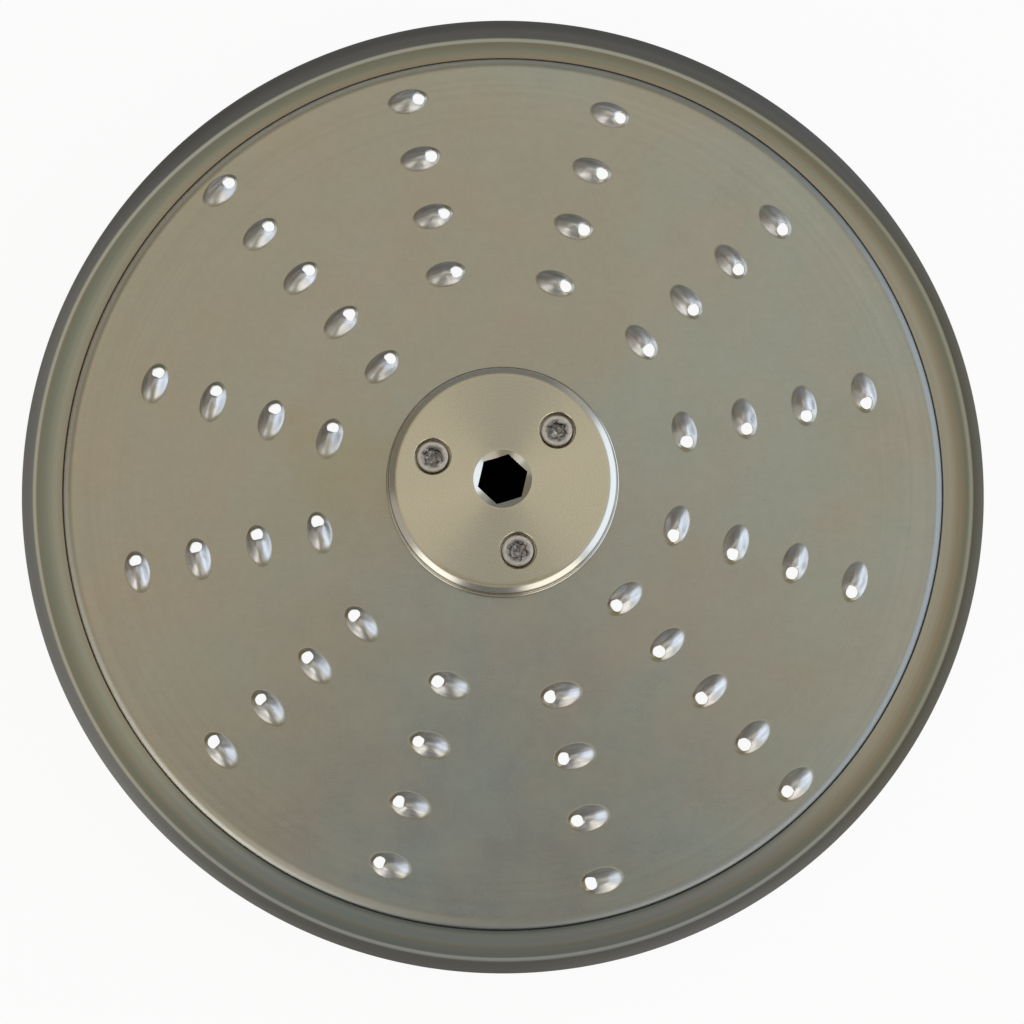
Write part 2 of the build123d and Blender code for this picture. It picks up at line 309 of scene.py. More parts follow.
# The tent's panels, in the order in which they are laid over each other; azimuth 0 is to the right
TENT_PANELS = {
    "left wall": LightPanel((-200, -140), (-10, 50), 20, (0.55, 0.52, 0.45)),
    "far left wall": LightPanel((130, 200), (-10, 55), 20, (0.26, 0.23, 0.18)),
    "right wall": LightPanel((15, 62), (-10, 50), 14, (0.50, 0.50, 0.47)),
    "right window": LightPanel((-36, 38), (-10, 46), 10, (1.35, 1.50, 1.68)),
    "front right window": LightPanel((-78, -40), (-10, 36), 6, (1.80, 1.72, 1.54)),
    "front left window": LightPanel((-146, -117), (-10, 36), 6, (1.90, 1.84, 1.70)),
}
TENT_ZENITH_LEFT = (0.86, 0.80, 0.68)
TENT_ZENITH_RIGHT = (0.80, 0.80, 0.745)
TENT_FRONT = (0.20, 0.20, 0.20)
TENT_BACK = (0.25, 0.25, 0.23)
# Where the front changes to the back and the left to the right, along a direction of length 1
TENT_FRONT_TO_BACK = (-0.3, 0.4)
TENT_LEFT_TO_RIGHT = (-0.3, 0.25)
# Where the sides change to the top, in degrees
TENT_TOP = (40, 68)
# Dark flag that stands in front and leans over the disc: a fan from a point behind the zenith
FLAG_POINT = 0.148
FLAG_SIDES = (-127, -58)
FLAG_SOFT = 5
FLAG_FOOT = (36, 41)
FLAG_LOW = (0.47, 0.41, 0.27)
FLAG_HIGH = (0.28, 0.36, 0.47)
FLAG_CHANGE = (70, 82)


# Node trees


class Nodes:
    """Adds nodes to a tree, each with its settings, values and links in one call."""

    def __init__(self, tree):
        self.tree = tree

    def add(self, kind, inputs=None, **settings):
        """New node; a socket among its inputs is linked, and anything else is set as a value."""
        node = self.tree.nodes.new(kind)
        for name, value in settings.items():
            setattr(node, name, value)
        for key, value in (inputs or {}).items():
            self.feed(node.inputs[key], value)
        return node

    def feed(self, socket, value):
        """Link or set one input."""
        if isinstance(value, bpy.types.NodeSocket):
            self.tree.links.new(value, socket)
        else:
            socket.default_value = value

    def math(self, operation, *values):
        """Result of a math node."""
        return self.add("ShaderNodeMath", dict(enumerate(values)), operation=operation).outputs[0]

    def vector(self, operation, *values):
        """Result of a vector math node."""
        node = self.add("ShaderNodeVectorMath", dict(enumerate(values)), operation=operation)
        return node.outputs["Value" if operation in ("LENGTH", "DOT_PRODUCT") else "Vector"]

    def join(self, x, y, z):
        """Vector of three numbers."""
        return self.add("ShaderNodeCombineXYZ", {0: x, 1: y, 2: z}).outputs[0]

    def split(self, vector):
        """Three numbers of a vector."""
        return self.add("ShaderNodeSeparateXYZ", {0: vector}).outputs

    def ramp(self, value, low, high, at_low=0.0, at_high=1.0):
        """Smooth step of a value between two limits."""
        inputs = {"Value": value, "From Min": low, "From Max": high, "To Min": at_low, "To Max": at_high}
        return self.add("ShaderNodeMapRange", inputs, interpolation_type="SMOOTHSTEP").outputs[0]

    def within(self, value, low, high, soft):
        """1 between two limits, 0 outside, with soft flanks."""
        rise = self.ramp(value, low - soft / 2, low + soft / 2)
        fall = self.ramp(value, high - soft / 2, high + soft / 2, 1.0, 0.0)
        return self.math("MULTIPLY", rise, fall)

    def mix(self, factor, first, second):
        """Mix of two colours."""
        inputs = {0: factor, 6: first, 7: second}
        return self.add("ShaderNodeMix", inputs, data_type="RGBA").outputs[2]

    def scale(self, vector, factor):
        """Colour or vector times a number."""
        return self.vector("SCALE", vector, Vector(), Vector(), factor)

    def vary(self, pattern, amount, middle):
        """Number that a pattern between 0 and 1 moves up and down about a middle."""
        return self.math("MULTIPLY_ADD", self.math("SUBTRACT", pattern, 0.5), amount, middle)

    def noise(self, coords, size, detail, roughness):
        """Noise with features of about a size in metres."""
        inputs = {"Vector": coords, "Scale": 1 / size, "Detail": detail, "Roughness": roughness}
        return self.add("ShaderNodeTexNoise", inputs).outputs[0]


def rgba(tone):
    """Colour with full alpha."""
    return (*tone, 1.0)


def node_tree(name, sockets):
    """Geometry node tree with named inputs; returns its writer and its input sockets."""
    tree = bpy.data.node_groups.new(name, "GeometryNodeTree")
    tree.interface.new_socket("Geometry", in_out="INPUT", socket_type="NodeSocketGeometry")
    for socket, kind in sockets.items():
        tree.interface.new_socket(socket, in_out="INPUT", socket_type="NodeSocket" + kind)
    tree.interface.new_socket("Geometry", in_out="OUTPUT", socket_type="NodeSocketGeometry")
    nodes = Nodes(tree)
    return nodes, nodes.add("NodeGroupInput").outputs


def run_tree(piece, nodes, values):
    """Run a tree on a piece, and keep the result as the piece's plain mesh."""
    modifier = piece.modifiers.new(nodes.tree.name, "NODES")
    modifier.node_group = nodes.tree
    for item in nodes.tree.interface.items_tree:
        if item.in_out == "INPUT" and item.name in values:
            modifier[item.identifier] = values[item.name]
    evaluated = piece.evaluated_get(bpy.context.evaluated_depsgraph_get())
    mesh = bpy.data.meshes.new_from_object(evaluated)
    piece.modifiers.remove(modifier)
    old = piece.data
    piece.data = mesh
    bpy.data.meshes.remove(old)
    mesh.name = piece.name


def polar_point(nodes, radius, turn, height):
    """Place at a radius and an angle about the Z axis."""
    x = nodes.math("MULTIPLY", radius, nodes.math("COSINE", turn))
    y = nodes.math("MULTIPLY", radius, nodes.math("SINE", turn))
    return nodes.join(x, y, height)


def turned_copies(nodes, points, source, extra_turn):
    """Copies of an object's mesh at points, each turned with its place around the Z axis."""
    place = nodes.split(nodes.add("GeometryNodeInputPosition").outputs[0])
    turn = nodes.math("ADD", nodes.math("ARCTAN2", place[1], place[0]), extra_turn)
    rotation = nodes.add("FunctionNodeEulerToRotation", {0: nodes.join(0.0, 0.0, turn)}).outputs[0]
    inputs = {"Points": points, "Instance": source, "Rotation": rotation}
    copies = nodes.add("GeometryNodeInstanceOnPoints", inputs).outputs[0]
    return nodes.add("GeometryNodeRealizeInstances", {0: copies}).outputs[0]


def ring_of_points(nodes, number, diameter, first_angle):
    """Points evenly around a circle."""
    index = nodes.add("GeometryNodeInputIndex").outputs[0]
    step = nodes.math("DIVIDE", 2 * math.pi, number)
    turn = nodes.math("MULTIPLY_ADD", index, step, first_angle)
    place = polar_point(nodes, nodes.math("DIVIDE", diameter, 2.0), turn, 0.0)
    return nodes.add("GeometryNodePoints", {"Count": number, "Position": place}).outputs[0]


# Meshes


def new_object(name, mesh):
    """Object of a mesh, in the scene."""
    made = bpy.data.objects.new(name, mesh)
    bpy.context.scene.collection.objects.link(made)
    return made


def lofted(name, rings, closed):
    """Mesh through rings of as many points each; closed joins the last ring to the first."""
    size = len(rings[0])
    points = [point for ring in rings for point in ring]
    faces = []
    for number in range(len(rings) if closed else len(rings) - 1):
        here = number * size
        there = (number + 1) % len(rings) * size
        for step in range(size):
            after = (step + 1) % size
            faces.append((here + step, there + step, there + after, here + after))
    mesh = bpy.data.meshes.new(name)
    mesh.from_pydata(points, [], faces)
    return mesh


def turned(name, section, rays, first_angle=0.0):
    """Mesh turned about the Z axis; section(angle) gives its closed outline of radius and height."""
    rings = []
    for ray in range(rays):
        turn = first_angle + 2 * math.pi * ray / rays
        rings.append([(r * math.cos(turn), r * math.sin(turn), z) for r, z in section(turn)])
    return lofted(name, rings, closed=True)


def turned_sheet(name, line, rays):
    """Open mesh turned about the Z axis from a line of (radius, height)."""
    turns = [2 * math.pi * ray / rays for ray in range(rays)]
    rings = [[(r * math.cos(turn), r * math.sin(turn), z) for turn in turns] for r, z in line]
    return lofted(name, rings, closed=False)


def set_values(mesh, name, values):
    """Store a number for each point of a mesh."""
    mesh.attributes.new(name, "FLOAT", "POINT").data.foreach_set("value", values)


def set_vectors(mesh, name, vectors):
    """Store a vector for each point of a mesh."""
    numbers = [number for vector in vectors for number in vector]
    mesh.attributes.new(name, "FLOAT_VECTOR", "POINT").data.foreach_set("vector", numbers)


def tidy(mesh):
    """Weld a closed mesh, point its faces outwards and shade it smooth up to its sharp edges."""
    work = bmesh.new()
    work.from_mesh(mesh)
    bmesh.ops.remove_doubles(work, verts=work.verts, dist=WELD)
    bmesh.ops.dissolve_degenerate(work, dist=WELD / 10, edges=work.edges)
    bmesh.ops.recalc_face_normals(work, faces=work.faces)
    work.to_mesh(mesh)
    work.free()
    mesh.shade_smooth()
    mesh.set_sharp_from_angle(angle=SHARP_ANGLE)


def softened(corners):
    """Closed outline of (radius, height) from corners that each give their own rounding.

    A point held beside each rounding keeps the face next to it flat in the shading.
    """
    outline = []
    for number, (radius, height, rounding) in enumerate(corners):
        corner = Vector((radius, height))
        if rounding == 0:
            outline.append((radius, height))
            continue
        before = (Vector(corners[number - 1][:2]) - corner).normalized()
        after = (Vector(corners[(number + 1) % len(corners)][:2]) - corner).normalized()
        half = before.angle(after) / 2
        reach = rounding / math.tan(half)
        centre = corner + (before + after).normalized() * rounding / math.sin(half)
        start = corner + before * reach - centre
        end = corner + after * reach - centre
        sweep = math.copysign(math.pi - 2 * half, start.cross(end))
        outline.append(tuple(corner + before * reach * (1 + HOLD)))
        for step in range(ROUND_STEPS + 1):
            outline.append(tuple(centre + Matrix.Rotation(sweep * step / ROUND_STEPS, 2) @ start))
        outline.append(tuple(corner + after * reach * (1 + HOLD)))
    return outline


def smooth_max(first, second, blend):
    """The larger of two numbers, blended where they differ by less than a given amount."""
    overlap = max(blend - abs(first - second), 0) / blend
    return max(first, second) + overlap * overlap * blend / 4


def hexagon_radius(cap, turn):
    """Distance from the axis to the wall of the six-sided bore, at an angle."""
    side = math.pi / 3
    off = (turn - cap.bore_angle) % side - side / 2
    return cap.across_flats / 2 / math.cos(off)


def finish_piece(piece, node):
    """Hand a finished piece to the frame in the place of its solid."""
    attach(piece, "root")
    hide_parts(node)


# Finishes


class Noise(NamedTuple):
    """Noise with features of about a size in metres."""

    size: float
    detail: float = 3.0
    roughness: float = 0.5


class Marks(NamedTuple):
    """Turning marks: their width in metres, and how often they change on the way around."""

    width: float
    run: float


class Relief(NamedTuple):
    """How strongly a pattern shapes the shading, and its depth in metres."""

    strength: float
    depth: float


# Patterns of the sheet and its teeth
CLOUDS = Noise(0.045)
BLOTS = Noise(0.009, 4.0, 0.6)
SPECKLE = Noise(0.0016, 2.0, 0.6)
TINTS = Noise(0.017)
GRAIN = Noise(1.0, 3.0, 0.65)
STREAKS = Noise(1.0, 2.0)
SHEET_ARCS = Marks(0.0010, 0.5)
SHEET_RELIEF = Relief(0.03, 0.0002)
# How the grain and the streaks are stretched along each axis, and where the tints are taken from
GRAIN_STRETCH = (150, 1500, 1500)
STREAK_STRETCH = (0.5, 2.6, 0)
STREAK_PLACES = (40, 40, 0)
TINT_PLACE = (1, 1, 1)
# Warm tones lie more to the left, a painted warm reflection laid over random clouds: how much per metre,
# and the limits of the change
WARM_REFLECTION_SLOPE = -2.2
WARMTH_LIMITS = (0.34, 0.66)
# Stain by the hub: its middle, its reach, how far blots move its edge, and its strength
STAIN_PLACE = (-0.033, 0.003, 0.023)
STAIN_REACH = (0.012, 0.034)
STAIN_UNEVEN = 0.02
STAIN_STRENGTH = 0.8
# How much each pattern moves the brightness of the sheet
GRAIN_LEVEL = 0.06
BLOT_LEVEL = 0.16
SPECKLE_LEVEL = 0.10
ARC_LEVEL = 0.22
# Faint tints that patches of noise lay over the sheet and the channel
TINT_LIMITS = (0.35, 0.65)
SHEET_TINTS = ((1.025, 0.99, 0.985, 1), (0.98, 1.005, 1.01, 1))
CHANNEL_TINTS = ((1.09, 0.98, 0.90, 1), (0.94, 1.02, 1.06, 1))
# Bands of the sheet, as radii: arcs near the edge, the turned edge with its painted highlight and shade,
# and its wider part at the front
ARC_BAND = (PLATE_HIGH.x - 0.0255, PLATE_HIGH.x - 0.0055)
BEND_BAND = (PLATE_HIGH.x - 0.0018, PLATE_HIGH.x - 0.0007)
WIDE_BEND_BAND = (PLATE_HIGH.x - 0.0024, PLATE_HIGH.x - 0.0015)
# Side from which the turned edge gets its painted highlight, the limits of its painted shade, and where
# its front lies
BEND_PAINTED_LIGHT_SIDE = (-0.95, 0.3, 0)
BEND_PAINTED_SHADE = (-0.5, 0.6)
BEND_FRONT = (-0.9, -0.6)
# Streaks of the teeth: limits, tones, and their depth from the left to the right of the disc
STREAK_LIMITS = (0.3, 0.7)
STREAK_TONES = (0.80, 1.16)
STREAK_SIDES = (-0.02, 0.03)
STREAK_DEPTHS = (5.0, 2.0)
# Roughness of the sheet, and what blots, teeth and the turned edge add to it
SHEET_ROUGHNESS = 0.28
BLOT_ROUGHNESS = 0.10
TOOTH_ROUGHNESS = 0.09
BEND_ROUGHNESS = 0.20

# Patterns of the rim
RIM_FINE_MARKS = Marks(0.00022, 1.2)
RIM_BROAD_MARKS = Marks(0.0011, 0.6)
RIM_RINGS = Marks(0.0009, 0.35)
RIM_RELIEF = Relief(0.06, 0.0001)
FINE_MARK_LEVEL = 0.16
BROAD_MARK_LEVEL = 0.34
# Bands of the rim, as radii: painted shade by the seam, fading channel, painted highlight line on the
# land, outer edge with painted shade
SEAM_SHADE_BAND = (RIM_HIGH.x - 0.0086, RIM_HIGH.x - 0.0077)
CHANNEL_BAND = (RIM_HIGH.x - 0.0075, RIM_HIGH.x - 0.0038)
LAND_BAND = (RIM_HIGH.x - 0.0032, RIM_HIGH.x - 0.0025)
EDGE_BAND = (RIM_HIGH.x - 0.0026, RIM_HIGH.x - 0.0022)
LAND_SOFT = 0.0004
# Front of the rim, the painted shade that darkens and cools the channel there, and the strength of the
# painted shade by the seam
RIM_FRONT = (-0.95, -0.55)
FRONT_PAINTED_SHADE = (0.68, 0.76, 0.92)
SEAM_PAINTED_SHADE = 0.34
# How far the painted highlight line on the land runs inwards at the back, and where it starts to
LAND_SHIFT = 0.0018
LAND_BACK = (0.35, 0.95)
# Limits of the change from the left to the right, on the land's painted highlight and on the edge's
# painted shade, and the edge's back
LAND_SIDES = (0.3, 0.9)
EDGE_SIDES = (-0.9, 0.35)
EDGE_BACK = (0.3, 0.8)
# Roughness of the rim, and what its marks and its edge add to it
RIM_ROUGHNESS = 0.36
RIM_MARK_ROUGHNESS = 0.12
EDGE_ROUGHNESS = 0.22
RIM_ANISOTROPY = 0.3

# Patterns of the hub
HUB_MARKS = Marks(0.00012, 0.8)
HUB_RELIEF = Relief(0.05, 0.0001)
HUB_MARK_LEVEL = 0.14
# Bands of the cap, as radii: polished bevel, lead-in, the bore's painted shade, and inner end of the
# turned face
BEVEL_BAND = (CAP_HIGH.x - 0.0022, CAP_HIGH.x - 0.00205)
LEAD_IN_BAND = (0.0061, 0.0063)
BORE_BAND = (0.0060, 0.0062)
FACE_BAND = (0.0060, 0.0066)
# Depth under the lead-in's cone and height over the foot at which the bore is painted dark as shade
BORE_DEPTH = (0.00004, 0.00010)
BORE_FOOT = (0.0008, 0.0014)
# Roughness of the turned face, what its marks add, and the share of it that cut faces have
HUB_ROUGHNESS = 0.27
HUB_MARK_ROUGHNESS = 0.08
CUT_SHARE = 0.8
FACE_ANISOTROPY = 0.93

# Patterns of the screws
SCREW_MOTTLE = Noise(0.0009, 4.0, 0.65)
SCREW_FLECKS = Noise(0.0005, 2.0)
SCREW_RELIEF = Relief(0.25, 0.0002)
MOTTLE_LEVEL = 0.9
# Where the darkening thins out, what is left of it there, and where flecks shine through
DRIVE_DARK_LIMITS = (0.40, 0.66)
DRIVE_DARK_THINNEST = 0.45
FLECK_LIMITS = (0.60, 0.70)
SCREW_ROUGHNESS = 0.20
MOTTLE_ROUGHNESS = 0.3

# Noise behind all turning marks
MARK_NOISE = Noise(1.0, 4.0, 0.6)

# Floor: its roughness, its painted shade under the hub and its tone around it, and where the first starts
# to fade
FLOOR_ROUGHNESS = 0.9
FLOOR_SHADE_UNDER_HUB = (0.02, 0.02, 0.02)
FLOOR_PALE = (0.85, 0.85, 0.85)
HUB_SHADE_FADE = 0.98


def steel(name):
    """New metal material; returns it with its writer, its shader and its object coordinates."""
    material = bpy.data.materials.new(name)
    material.use_nodes = True
    nodes = Nodes(material.node_tree)
    shader = material.node_tree.nodes["Principled BSDF"]
    shader.inputs["Metallic"].default_value = 1.0
    coords = nodes.add("ShaderNodeTexCoord").outputs["Object"]
    return material, nodes, shader, coords


def emboss(nodes, shader, height, relief):
    """Let a pattern shape the shading of a surface."""
    inputs = {"Strength": relief.strength, "Distance": relief.depth, "Height": height}
    nodes.feed(shader.inputs["Normal"], nodes.add("ShaderNodeBump", inputs).outputs[0])


def from_axis(nodes, coords):
    """Way from the disc's axis to a place, level with it."""
    return nodes.vector("MULTIPLY", coords, Vector((1, 1, 0)))


def axis_radius(nodes, coords):
    """Distance from the disc's axis."""
    return nodes.vector("LENGTH", from_axis(nodes, coords))


def outwards(nodes, coords):
    """Direction away from the disc's axis."""
    return nodes.vector("NORMALIZE", from_axis(nodes, coords))


def turning_marks(nodes, coords, width, run):
    """Fine marks that run around the axis: noise that is narrow across and long around."""
    place = nodes.split(coords)
    radius = axis_radius(nodes, coords)
    turn = nodes.math("ARCTAN2", place[1], place[0])
    across = nodes.math("DIVIDE", radius, width)
    down = nodes.math("DIVIDE", place[2], width)
    around = nodes.join(nodes.math("MULTIPLY", nodes.math("COSINE", turn), run),
                        nodes.math("MULTIPLY", nodes.math("SINE", turn), run), across)
    marks = nodes.vector("ADD", around, nodes.join(0.0, 0.0, down))
    return nodes.noise(marks, *MARK_NOISE)


def plate_finish(finish):
    """Satin sheet with cloudy tones that a painted reflection warms to the left, a straw stain by the hub,
    rolling grain, streaky teeth, and a painted highlight and shade on the turned edge.
    """
    material, nodes, shader, coords = steel("Satin sheet")
    place = nodes.split(coords)
    radius = axis_radius(nodes, coords)
    out = outwards(nodes, coords)
    clouds = nodes.noise(coords, *CLOUDS)
    blots = nodes.noise(coords, *BLOTS)
    speckle = nodes.noise(coords, *SPECKLE)
    # Painted reflection: a slope across the sheet tints it warmer to the left, on top of its random clouds
    # of tone.
    warmth_and_reflection = nodes.math("MULTIPLY_ADD", place[0], WARM_REFLECTION_SLOPE, clouds)
    tone = nodes.mix(nodes.ramp(warmth_and_reflection, *WARMTH_LIMITS), rgba(finish.plate_cool), rgba(finish.plate_warm))
    from_stain = nodes.vector("LENGTH", nodes.vector("SUBTRACT", coords, Vector(STAIN_PLACE)))
    from_stain = nodes.math("MULTIPLY_ADD", blots, STAIN_UNEVEN, from_stain)
    stain = nodes.ramp(from_stain, *STAIN_REACH, STAIN_STRENGTH, 0.0)
    tone = nodes.mix(stain, tone, rgba(finish.stain))
    grain = nodes.noise(nodes.vector("MULTIPLY", coords, Vector(GRAIN_STRETCH)), *GRAIN)
    level = nodes.vary(grain, GRAIN_LEVEL, 1.0)
    level = nodes.vary(blots, BLOT_LEVEL, level)
    level = nodes.vary(speckle, SPECKLE_LEVEL, level)
    near_edge = nodes.ramp(radius, *ARC_BAND, 0.0, ARC_LEVEL)
    level = nodes.vary(turning_marks(nodes, coords, *SHEET_ARCS), near_edge, level)
    tone = nodes.scale(tone, level)
    tints = nodes.noise(nodes.vector("ADD", coords, Vector(TINT_PLACE)), *TINTS)
    tone = nodes.vector("MULTIPLY", tone, nodes.mix(nodes.ramp(tints, *TINT_LIMITS), *SHEET_TINTS))
    # Painted highlight and shade: the turned edge is light where it faces left and back, and dark where it
    # faces the front.
    bright = nodes.vector("DOT_PRODUCT", out, Vector(BEND_PAINTED_LIGHT_SIDE))
    shade = nodes.ramp(bright, *BEND_PAINTED_SHADE, 1.0, 0.0)
    nearest = nodes.ramp(nodes.split(out)[1], *BEND_FRONT, 1.0, 0.0)
    wide_bend = nodes.math("MULTIPLY", nearest, nodes.ramp(radius, *WIDE_BEND_BAND))
    bend = nodes.math("MAXIMUM", nodes.ramp(radius, *BEND_BAND), wide_bend)
    painted_edge_light = nodes.mix(shade, rgba(finish.bend_painted_light), rgba(finish.bend_painted_shade))
    tone = nodes.mix(bend, tone, painted_edge_light)

    polish = nodes.add("ShaderNodeAttribute", attribute_name="polish").outputs["Fac"]
    dome = nodes.add("ShaderNodeAttribute", attribute_name="dome").outputs["Vector"]
    along = nodes.vector("MULTIPLY", dome, Vector(STREAK_STRETCH))
    own_place = nodes.vector("MULTIPLY", coords, Vector(STREAK_PLACES))
    streaks = nodes.noise(nodes.vector("ADD", along, own_place), *STREAKS)
    tooth = nodes.scale(tuple(finish.tooth), nodes.ramp(streaks, *STREAK_LIMITS, *STREAK_TONES))
    nodes.feed(shader.inputs["Base Color"], nodes.mix(polish, tone, tooth))
    rough = nodes.vary(blots, BLOT_ROUGHNESS, SHEET_ROUGHNESS)
    rough = nodes.math("MULTIPLY_ADD", polish, TOOTH_ROUGHNESS, rough)
    rough = nodes.math("MULTIPLY_ADD", bend, BEND_ROUGHNESS, rough)
    nodes.feed(shader.inputs["Roughness"], rough)
    depth = nodes.math("MULTIPLY", polish, nodes.ramp(place[0], *STREAK_SIDES, *STREAK_DEPTHS))
    emboss(nodes, shader, nodes.math("MULTIPLY_ADD", streaks, depth, grain), SHEET_RELIEF)
    return material


def rim_finish(finish):
    """Turned ring: a channel that is duller outwards, a painted highlight line on its land, painted shade
    at the front and by the seam, and painted shade on the outer edge.
    """
    material, nodes, shader, coords = steel("Turned rim")
    marks = turning_marks(nodes, coords, *RIM_FINE_MARKS)
    level = nodes.vary(marks, FINE_MARK_LEVEL, 1.0)
    level = nodes.vary(turning_marks(nodes, coords, *RIM_BROAD_MARKS), BROAD_MARK_LEVEL, level)
    out = outwards(nodes, coords)
    way = nodes.split(out)
    front = nodes.ramp(way[1], *RIM_FRONT, 1.0, 0.0)
    inwards = nodes.math("MULTIPLY", nodes.ramp(way[1], *LAND_BACK), LAND_SHIFT)
    band = nodes.math("ADD", axis_radius(nodes, coords), inwards)
    tone = nodes.mix(nodes.ramp(band, *CHANNEL_BAND), rgba(finish.channel), rgba(finish.channel_dull))
    rings = nodes.ramp(turning_marks(nodes, coords, *RIM_RINGS), *TINT_LIMITS)
    tone = nodes.vector("MULTIPLY", tone, nodes.mix(rings, *CHANNEL_TINTS))
    # Painted shade: the channel is darker and bluer at the front.
    tone = nodes.mix(front, tone, nodes.vector("MULTIPLY", tone, Vector(FRONT_PAINTED_SHADE)))
    # Painted shade: a darker strip of the channel beside the seam, at the front only.
    darkening = nodes.ramp(band, *SEAM_SHADE_BAND, nodes.math("MULTIPLY", front, SEAM_PAINTED_SHADE), 0.0)
    tone = nodes.scale(tone, nodes.math("SUBTRACT", 1.0, darkening))
    # Painted highlight: a bright line along the land, dimmer on the right and at the front.
    land = nodes.mix(nodes.ramp(way[0], *LAND_SIDES), rgba(finish.land), rgba(finish.land_highlight_right))
    land = nodes.mix(front, land, rgba(finish.land_highlight_front))
    tone = nodes.mix(nodes.within(band, *LAND_BAND, LAND_SOFT), tone, land)
    # Painted shade: the outer edge is dark as if it reflected dark surroundings, lightest on the left,
    # darker at the ends and darkest on the right.
    edge = nodes.ramp(band, *EDGE_BAND)
    painted_edge_shade = nodes.mix(nodes.ramp(way[0], *EDGE_SIDES), rgba(finish.edge_left), rgba(finish.edge_right))
    ends = nodes.math("MAXIMUM", front, nodes.ramp(way[1], *EDGE_BACK))
    painted_edge_shade = nodes.mix(ends, painted_edge_shade, rgba(finish.edge_ends))
    nodes.feed(shader.inputs["Base Color"], nodes.scale(nodes.mix(edge, tone, painted_edge_shade), level))
    rough = nodes.vary(marks, RIM_MARK_ROUGHNESS, RIM_ROUGHNESS)
    nodes.feed(shader.inputs["Roughness"], nodes.math("MULTIPLY_ADD", edge, EDGE_ROUGHNESS, rough))
    shader.inputs["Anisotropic"].default_value = RIM_ANISOTROPY
    nodes.feed(shader.inputs["Tangent"], out)
    emboss(nodes, shader, marks, RIM_RELIEF)
    return material


def hub_finish(finish, cap):
    """Turned hub metal whose reflections spread across its turning marks; the bore is painted dark as
    shade.
    """
    material, nodes, shader, coords = steel("Turned hub")
    marks = turning_marks(nodes, coords, *HUB_MARKS)
    radius = axis_radius(nodes, coords)
    height = nodes.split(coords)[2]
    polished = nodes.ramp(radius, *BEVEL_BAND)
    cut = nodes.math("MAXIMUM", polished, nodes.ramp(radius, *LEAD_IN_BAND, 1.0, 0.0))
    tone = nodes.mix(cut, rgba(finish.cap), rgba(finish.cap_edge))
    tone = nodes.scale(tone, nodes.vary(marks, HUB_MARK_LEVEL, 1.0))
    slope = math.tan(cap.lead_in_slope)
    cone = nodes.math("MULTIPLY_ADD", radius, slope, cap.top - slope * cap.lead_in / 2)
    below = nodes.math("SUBTRACT", cone, height)
    # Painted shade: the walls of the bore below the lead-in are painted nearly black.
    painted_bore_shade = nodes.math("MULTIPLY", nodes.ramp(below, *BORE_DEPTH), nodes.ramp(radius, *BORE_BAND, 1.0, 0.0))
    painted_bore_shade = nodes.math("MULTIPLY", painted_bore_shade, nodes.ramp(height, *BORE_FOOT))
    nodes.feed(shader.inputs["Base Color"], nodes.mix(painted_bore_shade, tone, rgba(finish.bore)))
    face = nodes.math("MULTIPLY", nodes.ramp(radius, *FACE_BAND), nodes.math("SUBTRACT", 1.0, polished))
    rough = nodes.vary(marks, HUB_MARK_ROUGHNESS, HUB_ROUGHNESS)
    rough = nodes.math("MULTIPLY", rough, nodes.math("MULTIPLY_ADD", face, 1 - CUT_SHARE, CUT_SHARE))
    nodes.feed(shader.inputs["Roughness"], rough)
    nodes.feed(shader.inputs["Anisotropic"], nodes.math("MULTIPLY", face, FACE_ANISOTROPY))
    nodes.feed(shader.inputs["Tangent"], outwards(nodes, coords))
    emboss(nodes, shader, marks, HUB_RELIEF)
    return material


def screw_finish(finish):
    """Plain screw metal, darker in and around the drive, with bright flecks."""
    material, nodes, shader, coords = steel("Screw metal")
    mottle = nodes.noise(coords, *SCREW_MOTTLE)
    flecks = nodes.noise(coords, *SCREW_FLECKS)
    tone = nodes.scale(tuple(finish.screw), nodes.vary(mottle, MOTTLE_LEVEL, 1.0))
    grime = nodes.add("ShaderNodeAttribute", attribute_name="grime").outputs["Fac"]
    darkening = nodes.math("MULTIPLY", grime, nodes.ramp(mottle, *DRIVE_DARK_LIMITS, 1.0, DRIVE_DARK_THINNEST))
    tone = nodes.mix(darkening, tone, rgba(finish.grime))
    bright = nodes.math("MULTIPLY", nodes.ramp(flecks, *FLECK_LIMITS), grime)
    nodes.feed(shader.inputs["Base Color"], nodes.mix(bright, tone, rgba(finish.fleck)))
    rough = nodes.math("MULTIPLY_ADD", mottle, MOTTLE_ROUGHNESS, SCREW_ROUGHNESS)
    nodes.feed(shader.inputs["Roughness"], rough)
    emboss(nodes, shader, mottle, SCREW_RELIEF)
    return material


